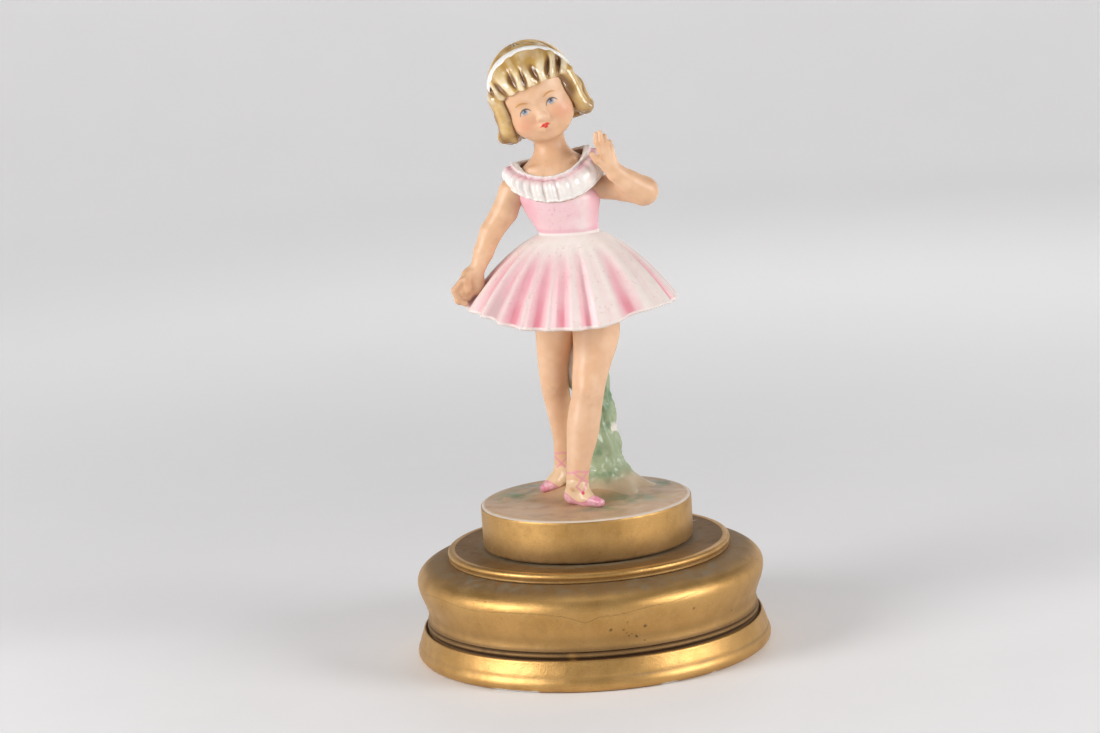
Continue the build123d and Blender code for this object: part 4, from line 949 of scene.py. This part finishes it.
# ---------------------------------------------------------------- arms and legs
def skin_layers(points, seed, shade_spots=()):
    """Painted bisque: peach, a little uneven, with patches of painted shade at (x, y, z, size, strength)."""
    layers = [((0.86, 0.60, 0.41), 0.45 * smooth(-0.3, 0.8, noise(points, 6.0, seed))),
              ((0.68, 0.39, 0.22), 0.35 * smooth(0.1, 0.9, noise(points, 9.0, seed + 4)))]
    for *place, size, strength in shade_spots:
        away = np.linalg.norm(points - np.array(place), axis=1)
        amount = strength * bell(away, 0.0, size) * (0.7 + 0.5 * noise(points, 1.5, seed + 8))
        layers.append((SKIN_SHADE, amount))
    return layers


def limb_piece(name, field, skin, seed, shade_spots):
    return moulded(name, field, skin, lambda points: layered(points, SKIN, skin_layers(points, seed, shade_spots)))


def build_right_arm(skin):
    """Her right arm reaches down and out, and the hand holds the edge of the skirt."""
    f = Field((-47, -12, 119), (-10, 9, 172), 0.25)
    f.limb([(-15.5, 1.0, 167.0, 3.6), (-18.6, 0.8, 163.6, 4.6), (-21.8, 0.2, 156.6, 4.55),
            (-26.9, -0.8, 149.9, 3.95), (-30.0, -1.6, 143.2, 3.45), (-32.0, -2.2, 138.6, 2.8)], 2.5)
    f.join(f.ball((-34.4, -2.8, 135.4), (3.9, 2.9, 3.3)), 1.6)
    f.join(f.ball((-37.6, -3.2, 130.4), (3.5, 3.2, 4.2)), 1.8)
    f.join(f.ball((-33.2, -2.6, 132.2), (3.0, 2.8, 3.9)), 1.5)
    f.limb([(-34.6, -5.0, 136.6, 1.3), (-36.6, -5.6, 134.4, 1.25), (-36.0, -6.0, 130.8, 1.15)], 0.7)
    for k in range(4):
        y = -5.2 + 1.75 * k
        drop = 0.7 * k
        f.limb([(-38.0, y, 134.2 - drop, 1.25), (-40.7 + 0.2 * k, y - 0.3, 131.0 - drop, 1.25),
                (-39.8, y - 0.5, 127.4 - drop * 0.5, 1.15), (-37.4, y - 0.6, 126.2, 1.05)], 0.55)
    # Patches of painted shade: over the fist, by the thumb and on the front of the arm at the elbow.
    return limb_piece("right_arm_and_hand", f, skin, 101, [
        (-38.6, -5, 131, 5.5, 0.8), (-37.0, -5, 137.4, 1.8, 0.7), (-25.5, -4.5, 146.5, 2.4, 0.55),
        (-22.6, -4, 153.2, 2.0, 0.4)])


def build_left_arm(skin):
    """Her left arm folds back on itself, and the open hand is held up beside her shoulder."""
    f = Field((2, -18, 152), (37, 8, 187), 0.22)
    f.limb([(9.0, 0.6, 163.6, 4.3), (14.0, -0.2, 163.0, 4.1), (20.0, -1.4, 162.2, 4.3),
            (26.4, -3.2, 161.2, 5.0)], 2.0)
    f.limb([(26.9, -3.8, 161.3, 4.9), (21.8, -6.4, 165.0, 4.1), (17.4, -8.4, 168.7, 3.15),
            (15.9, -9.0, 170.8, 2.8)], 1.2)
    tilt = math.radians(-12)
    turn = np.array([[math.cos(tilt), 0, -math.sin(tilt)], [0, 1, 0], [math.sin(tilt), 0, math.cos(tilt)]])
    f.join(f.ball((14.9, -9.6, 173.4), (3.3, 1.75, 4.0), turn), 1.4)
    fingers = [((12.9, -10.2, 175.6), (11.5, -10.8, 179.8), (11.3, -10.6, 182.6)),
               ((14.1, -10.2, 176.0), (13.0, -11.0, 180.3), (12.8, -10.8, 183.2)),
               ((15.4, -10.0, 175.8), (14.6, -10.5, 179.4), (14.35, -10.2, 181.8)),
               ((16.6, -9.6, 174.6), (16.2, -9.8, 177.4), (15.95, -9.5, 179.6))]
    for root, knuckle, tip in fingers:
        f.limb([(*root, 1.2), (*knuckle, 0.98), (*tip, 0.76)], 0.22)
    f.limb([(13.4, -10.2, 171.6, 1.4), (11.2, -11.0, 173.6, 1.15), (9.6, -11.0, 175.8, 0.85)], 0.8)
    # Patches of painted shade: by the elbow, under the upper arm and at the thumb.
    return limb_piece("left_arm_and_hand", f, skin, 111, [
        (29.5, -5, 164.0, 3.0, 0.35), (17.5, -3, 159.5, 3.5, 0.35), (10.5, -11, 173.6, 2.2, 0.4)])


# The legs from the hip down, as (x, y, z, radius)
LEFT_LEG = [
    (7.3, 0.4, 118.0, 8.3), (7.2, -1.0, 111.5, 7.9), (5.6, -2.6, 104.0, 6.6), (4.3, -4.0, 98.6, 5.9),
    (2.9, -5.4, 91.2, 5.35), (1.3, -6.2, 83.6, 5.5), (0.2, -7.2, 77.4, 5.2), (-1.2, -8.8, 70.8, 4.25),
    (-2.2, -10.2, 64.6, 3.65), (-2.6, -10.8, 60.4, 3.6)]
RIGHT_LEG = [
    (-6.2, 3.6, 118.0, 7.2), (-7.2, 4.8, 110.8, 6.5), (-8.3, 6.2, 102.0, 5.3), (-8.3, 7.4, 93.0, 4.75),
    (-7.6, 8.8, 86.0, 4.3), (-7.2, 10.0, 80.0, 3.75), (-7.1, 11.4, 72.6, 2.85), (-7.6, 12.0, 66.4, 2.45),
    (-7.6, 12.2, 61.6, 2.6)]
RIBBON = (0.78, 0.30, 0.38)
LEFT_RIBBONS = [[(-6.6, 65.0), (-2.4, 65.9), (1.6, 65.2)], [(-3.6, 65.4), (0.9, 61.8), (-0.9, 58.6)],
                [(1.1, 65.3), (-3.0, 60.6), (-0.9, 58.6)]]
RIGHT_RIBBONS = [[(-10.6, 67.7), (-7.4, 68.2), (-4.4, 67.8)], [(-9.9, 66.6), (-6.6, 62.8)],
                 [(-5.2, 66.6), (-9.4, 63.0)]]
LEFT_BOW = (-0.9, 58.4)


def ribbon_layers(points, ribbons, behind):
    """Painted ribbons through (x, z) points on what is ahead of y = behind."""
    ahead = points[:, 1] < behind
    layers = []
    for line in ribbons:
        best = np.full(len(points), 9.0)
        for (x0, z0), (x1, z1) in zip(line, line[1:]):
            for t in np.linspace(0, 1, 24):
                best = np.minimum(best, np.hypot(points[:, 0] - mix(x0, x1, t), points[:, 2] - mix(z0, z1, t)))
        layers.append((RIBBON, 0.8 * ahead * smooth(0.5, 0.22, best)))
    return layers


def build_leg(name, skin, route, low, high, knee, ribbons, behind, seed):
    """A leg through route, with a kneecap by its point number knee and the shoe's ribbons round its ankle."""
    f = Field(low, high, 0.27)
    f.limb([tuple(p) for p in curve_through(route, 4 * len(route))], 1.0)
    x, y, z, r = route[knee]
    f.join(f.ball((x + 0.2, y - 0.45 * r, z + 1.5), (0.6 * r, 0.62 * r, 0.9 * r)), 2.2)

    def colours(points):
        # A patch of painted shade on the front of the leg just below the kneecap.
        layers = skin_layers(points, seed, [(x, y - r, z - 1, 4.5, 0.35)])
        return layered(points, SKIN, layers + ribbon_layers(points, ribbons, behind))

    return moulded(name, f, skin, colours)


def shoe_field(f, ankle, heel, toe):
    """A soft slipper: round heel, low sides and a narrow, slightly lifted toe."""
    across = np.cross(np.array(toe[:3]) - np.array(heel[:3]), (0, 0, 1.0))
    across /= np.linalg.norm(across)
    middle = [mix(heel[k], toe[k], 0.5) for k in range(3)]
    f.join(f.rod(heel, (*middle, 2.75)))
    f.join(f.rod((*[middle[k] + 0.4 * across[k] for k in range(3)], 2.7), toe), 0.8)
    f.join(f.rod((*middle[:2], middle[2] + 0.6, 2.0), ankle), 1.2)
    f.join(f.rod(heel, ankle), 1.2)


def build_foot(name, glaze, ankle, heel, toe, ground, ribbons, bow=None):
    """The foot inside the shoe, the shoe itself and its crossed ribbons, as one painted piece."""
    ends = np.array([ankle[:3], heel[:3], toe[:3]])
    f = Field(ends.min(axis=0) - 6.0, ends.max(axis=0) + 6.0, 0.2)
    shoe_field(f, ankle, heel, toe)
    f.carve(f.z - ground)
    along = ends[2] - ends[1]

    def colours(points):
        forward = (points - ends[1]) @ along / np.linalg.norm(along) ** 2
        height = points[:, 2] - ground
        edge = 4.3 - 2.6 * smooth(-0.1, 0.35, forward) + 3.2 * smooth(0.55, 0.9, forward)
        shoe = smooth(0.12, -0.12, height - edge)
        cloud = noise(points, 2.0, 135)
        layers = skin_layers(points, 131) + [
            ((0.86, 0.66, 0.43), np.full(len(points), 0.6)),
            ((0.83, 0.42, 0.50), shoe),
            ((0.70, 0.17, 0.30), 0.55 * shoe * smooth(0.1, 0.7, cloud + smooth(0.7, 1.1, forward))),
            ((0.90, 0.66, 0.68), 0.5 * shoe * smooth(0.2, 0.8, -cloud)),
            ((0.68, 0.15, 0.27), 0.7 * bell(height, edge, 0.2))]
        layers += ribbon_layers(points, ribbons, ankle[1] + 1.0)
        if bow:
            away = np.hypot(points[:, 0] - bow[0], points[:, 2] - bow[1])
            ahead = points[:, 1] < ankle[1] + 1.0
            layers.append(((0.66, 0.06, 0.12), 0.95 * ahead * smooth(0.75, 0.45, away)))
        return layered(points, SKIN, layers)

    return moulded(name, f, glaze, colours)


# ---------------------------------------------------------------- tree stump and ground
# The stump from its foot up, as (x, y, z, radius)
STUMP = [
    (8.0, 12.0, 53.0, 17.5), (7.4, 12.0, 55.8, 13.4), (7.0, 12.0, 59.0, 10.6), (6.6, 12.0, 63.5, 8.4),
    (6.2, 11.8, 70.0, 7.0), (5.8, 11.6, 78.0, 6.5), (4.4, 11.4, 86.0, 6.5), (3.0, 11.2, 94.0, 7.6),
    (2.4, 11.0, 99.5, 8.0), (2.0, 10.8, 108.0, 7.6), (1.8, 10.6, 119.0, 6.6)]


def build_stump(glaze):
    """A gnarled stump behind her legs, glazed in mottled green, whose foot spreads into the ground."""
    columns = 300
    route = curve_through(STUMP, 150)
    turn = round_angles(columns)
    rows = []
    for x, y, z, r in route:
        knots = (0.55 * np.sin(turn * 3 + z * 0.09) + 0.35 * np.sin(turn * 7 - z * 0.16 + 1.2)
                 + 0.22 * np.sin(turn * 13 + z * 0.31))
        spread = 1.0 + 0.35 * smooth(60.0, 54.0, z) * np.sin(turn * 5 + 0.7)
        radius = r * (1.0 + 0.04 * math.sin(z * 0.55)) * mix(1.0, spread, 0.35) + knots * smooth(55.5, 63.0, z)
        rows.append(np.stack([radius * np.cos(turn), 0.86 * radius * np.sin(turn), np.zeros(columns)], axis=1))
    away = np.concatenate(rows)
    middle = np.repeat(route[:, :3], columns, axis=0)
    lump = 0.07 * noise(middle + away, 4.5, 141) * smooth(55.5, 62.0, middle[:, 2])
    rings = (middle + away * (1.0 + lump)[:, None]).reshape(-1, columns, 3)
    piece, p = ring_piece("mossy_stump", rings, glaze)
    x, _, z = p.T
    cloud = noise(p, 8.0, 145)
    fine = noise(p, 1.3, 149)
    chip = np.linalg.norm((p - np.array([11.6, 8.0, 76.0])) / np.array([2.2, 9.0, 2.0]), axis=1)
    paint(piece, "paint", layered(p, (0.34, 0.42, 0.26), [
        ((0.12, 0.235, 0.125), 0.8 * smooth(0.2, 0.9, cloud + 0.15 * fine)),
        ((0.50, 0.56, 0.40), 0.8 * smooth(0.1, 0.8, -cloud + 0.15 * fine)),
        ((0.80, 0.74, 0.65), 0.9 * smooth(90.0, 96.0, z + 2 * cloud) * smooth(5.0, 1.0, x)),
        ((0.58, 0.42, 0.28), 0.8 * smooth(62.0, 56.5, z + 1.5 * cloud)),
        ((0.82, 0.78, 0.70), 1.0 - smooth(0.6, 0.9, chip + 0.3 * fine))]))
    return piece


# Mossy patches on the ground, as (x, y, half width, half depth)
MOSS = [(-24.5, 9.0, 7.0, 8.0), (17.0, -6.0, 10.0, 6.5), (27.0, 16.0, 4.5, 7.0), (4.0, -20.0, 7.0, 4.0),
        (-20.0, 24.0, 6.0, 4.0)]
GROUND_R = 36.85


def build_ground(glaze):
    """The thin ceramic ground inside the drum's rim, with a low mound that her feet and the stump stand on."""
    columns = 420
    turn = round_angles(columns)
    spans = np.concatenate([[0.02], np.linspace(1.0, 35.6, 90), [36.2, 36.6, GROUND_R]])
    rows = []
    for r in spans:
        x, y = r * np.cos(turn), r * np.sin(turn)
        mound = 3.0 * np.exp(-((x / 19.0) ** 2 + ((y - 10.0) / 13.0) ** 2) ** 1.5)
        rows.append(np.stack([x, y, DRUM_TOP - 0.05 + mound - 0.35 * smooth(36.2, GROUND_R, r)], axis=1))
    edge = rows[-1] * (1.0, 1.0, 0.0)
    for radius, level in ((36.87, 0.25), (36.6, 0.02), (20.0, 0.02), (0.02, 0.02)):
        rows.append(edge * radius / GROUND_R + (0.0, 0.0, GROUND_FOOT + level))
    p = np.concatenate(rows)
    on_top = np.arange(len(p)) < len(spans) * columns
    inward = 1.0 - smooth(34.0, 36.0, np.hypot(p[:, 0], p[:, 1]))
    p[:, 2] += on_top * inward * (0.10 * noise(p, 3.5, 161) + 0.3 * noise(p, 9.0, 165))
    piece, p = ring_piece("glazed_ground", p.reshape(-1, columns, 3), glaze)
    x, y, _ = p.T
    cloud = noise(p, 6.0, 171)
    fine = noise(p, 1.5, 175)
    patchy = 0.95 * smooth(-0.9, 0.3, noise(p, 3.2, 179))
    moss = [patchy * bell(x, at_x, wide) * bell(y, at_y, deep) for at_x, at_y, wide, deep in MOSS]
    paint(piece, "paint", layered(p, (0.57, 0.37, 0.21), [
        ((0.42, 0.25, 0.145), 0.6 * smooth(0.0, 0.8, cloud + 0.15 * fine)),
        ((0.62, 0.46, 0.32), 0.6 * smooth(0.2, 0.9, -cloud + 0.15 * fine)),
        *[((0.19, 0.28, 0.15), amount) for amount in moss],
        # A darker brown patch under the dancer: a painted shadow.
        ((0.36, 0.21, 0.12), 0.45 * bell(x, -2.0, 9.0) * bell(y, -4.0, 9.0)),
        ((0.78, 0.70, 0.60), 0.85 * smooth(35.9, 36.4, np.hypot(x, y) + 0.15 * fine))]))
    return piece


# ---------------------------------------------------------------- putting the figure together
def build_figure():
    skin = porcelain("matte_bisque", 0.38, 0.50, 0.06, 0.7, 0.02, 0.08)
    glossy = porcelain("white_glaze", 0.20, 0.32, 0.30, 3.0, 0.04, 0.08)
    pink = porcelain("pink_glaze", 0.34, 0.46, 0.10, 3.0, 0.04, 0.08)
    golden = porcelain("hair_glaze", 0.14, 0.26, 0.5, 1.5, 0.03, 0.05)
    earthy = porcelain("earth_glaze", 0.36, 0.50, 0.12, 2.0, 0.05, 0.02)
    mossy = porcelain("stump_glaze", 0.34, 0.48, 0.15, 2.5, 0.05, 0.03)
    shoe = porcelain("shoe_glaze", 0.30, 0.42, 0.15, 1.5, 0.03, 0.05)
    stands_for = [
        (build_head(skin), "bisque_skin", ["head"]),
        (build_hair(golden), "hair_glaze", ["hair"]),
        (build_headband(glossy), "white_glaze", ["headband"]),
        (build_ruffle(glossy), "white_glaze", ["collar_ruffle"]),
        (build_bodice(pink), "pink_dress", ["bodice"]),
        (build_skirt(pink), "pink_dress", ["skirt"]),
        (build_right_arm(skin), "bisque_skin", ["right_arm", "right_hand"]),
        (build_left_arm(skin), "bisque_skin", ["left_arm", "left_hand"]),
        (build_leg("left_leg_skin", skin, LEFT_LEG, (-9, -17, 56), (18, 10, 121), 4, LEFT_RIBBONS, -8.5, 121),
         "bisque_skin", ["left_leg"]),
        (build_leg("right_leg_skin", skin, RIGHT_LEG, (-16, -6, 57), (4, 18, 121), 3, RIGHT_RIBBONS, 12.5, 123),
         "bisque_skin", ["right_leg"]),
        (build_foot("left_shoe", shoe, (-2.6, -10.8, 61.4, 3.62), (-4.4, -9.0, 56.6, 2.9),
                    (5.0, -17.6, 55.1, 1.5), DRUM_TOP, LEFT_RIBBONS, LEFT_BOW), "pink_shoe", ["left_slipper"]),
        (build_foot("right_shoe", shoe, (-7.6, 12.2, 62.4, 2.62), (-6.6, 12.4, 59.2, 2.6),
                    (-14.4, 5.6, 56.6, 1.5), DRUM_TOP + 0.9, RIGHT_RIBBONS), "pink_shoe", ["right_slipper"]),
        (build_stump(mossy), "stump_green", ["tree_stump"]),
        (build_ground(earthy), "ground_tan", ["ground_mound"]),
    ]
    for piece, slot_name, nodes in stands_for:
        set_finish(piece, slot_name)
        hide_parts(*nodes)
        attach(piece, "turntable")


def finish_cad_nodes():
    """Procedural finishes for the pieces of the movement and the underside that show as they were modelled."""
    finishes = {
        "steel": metal("spring_steel", (0.42, 0.42, 0.44), (0.60, 0.60, 0.62), 0.22, 0.36),
        "cast_zinc": metal("cast_zinc", (0.34, 0.34, 0.35), (0.46, 0.46, 0.47), 0.40, 0.55),
        "brass": metal("brass", (0.58, 0.38, 0.13), (0.74, 0.52, 0.20), 0.22, 0.36),
        "key_nickel": metal("key_nickel", (0.46, 0.44, 0.40), (0.64, 0.62, 0.57), 0.26, 0.42),
        "fly_metal": metal("fly_metal", (0.44, 0.44, 0.43), (0.58, 0.58, 0.57), 0.34, 0.48),
        "board": board("hardboard", (0.16, 0.085, 0.035), (0.24, 0.135, 0.06), 1.2),
        "plywood": board("plywood", (0.42, 0.28, 0.14), (0.56, 0.40, 0.22), 1.6),
        "gilt_wood": board("raw_wood", (0.40, 0.27, 0.14), (0.52, 0.37, 0.20), 1.4),
    }
    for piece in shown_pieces():
        finish = finishes.get(piece.get("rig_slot"))
        if piece.get("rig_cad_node") and finish:
            for holder in piece.material_slots:
                holder.material = finish


# ---------------------------------------------------------------- floor, light and camera
FLAT_R, COVE_R, WALL_TOP = 1500, 500, 950


def build_floor():
    """A wide round floor whose rim curves up behind the object from every side, so that no view is blocked."""
    wall_r = FLAT_R + COVE_R
    cove = [(FLAT_R + COVE_R * math.sin(a), COVE_R - COVE_R * math.cos(a))
            for a in np.linspace(0, math.pi / 2, 16)]
    flat = [(0.01, 0.0)] + [(r, 0.0) for r in np.linspace(50, FLAT_R - 20, 60)]
    points, faces = turned(flat + cove + [(wall_r, 700), (wall_r, WALL_TOP)], 120, closed=False)
    m = Nodes("pale_paper")
    m.set(Base_Color=m.mix_colour(m.uneven(90.0, 0.0, 1.0), (0.86, 0.855, 0.865), (0.89, 0.885, 0.895)),
          Roughness=m.uneven(2.0, 0.55, 0.62),
          Emission_Color=(1.0, 0.985, 0.98), Emission_Strength=m.channels("glow")[0])
    floor = mesh_object("paper_floor", points, faces, m.material)
    out = np.hypot(points[:, 0], points[:, 1])
    glow = (0.06 + 0.28 * smooth(150, 900, out)) * (1.0 - 0.7 * smooth(200, 900, points[:, 2]))
    glow *= mix(0.35, 1.0, smooth(-0.7, 0.3, points[:, 1] / out))
    paint(floor, "glow", glow[:, None])


def lamp(name, at_mm, aim_mm, size_mm, watts, colour):
    """A round lamp that the camera doesn't see."""
    data = bpy.data.lights.new(name, "AREA")
    data.shape = "DISK"
    data.size = size_mm * MM
    data.energy = watts
    data.color = colour
    holder = bpy.data.objects.new(name, data)
    holder.location = Vector(at_mm) * MM
    holder.rotation_euler = (Vector(aim_mm) - Vector(at_mm)).to_track_quat("-Z", "Y").to_euler()
    holder.visible_camera = False
    bpy.context.scene.collection.objects.link(holder)


def build_light():
    """A soft box on each side, a weak one overhead and one behind, in a dim room."""
    lamp("left_box", (-760, -430, 430), (0, 0, 90), 520, 6.9, (1.0, 0.985, 0.965))
    lamp("right_box", (780, -400, 400), (0, 0, 90), 480, 5.5, (1.0, 0.985, 0.965))
    lamp("overhead", (-40, -60, 980), (0, 0, 100), 500, 0.8, (1.0, 1.0, 1.0))
    lamp("back_box", (240, 900, 640), (0, 0, 110), 600, 1.0, (1.0, 0.99, 0.98))
    world = bpy.data.worlds.new("soft_room")
    bpy.context.scene.world = world
    world.use_nodes = True
    room = world.node_tree.nodes["Background"]
    room.inputs["Color"].default_value = (0.93, 0.94, 1.0, 1.0)
    room.inputs["Strength"].default_value = 0.07
    bpy.context.scene.view_settings.view_transform = "Standard"


def build_camera():
    """The photograph's camera, which looks slightly down and is rolled a little."""
    pitch, yaw, roll = math.radians(10.02), math.radians(0.53), math.radians(3.76)
    data = bpy.data.cameras.new("camera")
    data.lens = 98.18
    data.sensor_width = 36.0
    data.clip_start, data.clip_end = 0.05, 20.0
    camera = bpy.data.objects.new("camera", data)
    bpy.context.scene.collection.objects.link(camera)
    bpy.context.scene.camera = camera
    forward = Vector((-math.sin(yaw) * math.cos(pitch), math.cos(yaw) * math.cos(pitch), -math.sin(pitch)))
    right = Vector((math.cos(yaw), math.sin(yaw), 0.0))
    up = right.cross(forward) * math.cos(roll) + right * math.sin(roll)
    camera.location = (0.0, -1.0356, 0.2841)
    camera.rotation_mode = "QUATERNION"
    camera.rotation_quaternion = Matrix((forward.cross(up), up, -forward)).transposed().to_quaternion()


build_base()
build_figure()
finish_cad_nodes()
build_floor()
build_light()
build_camera()
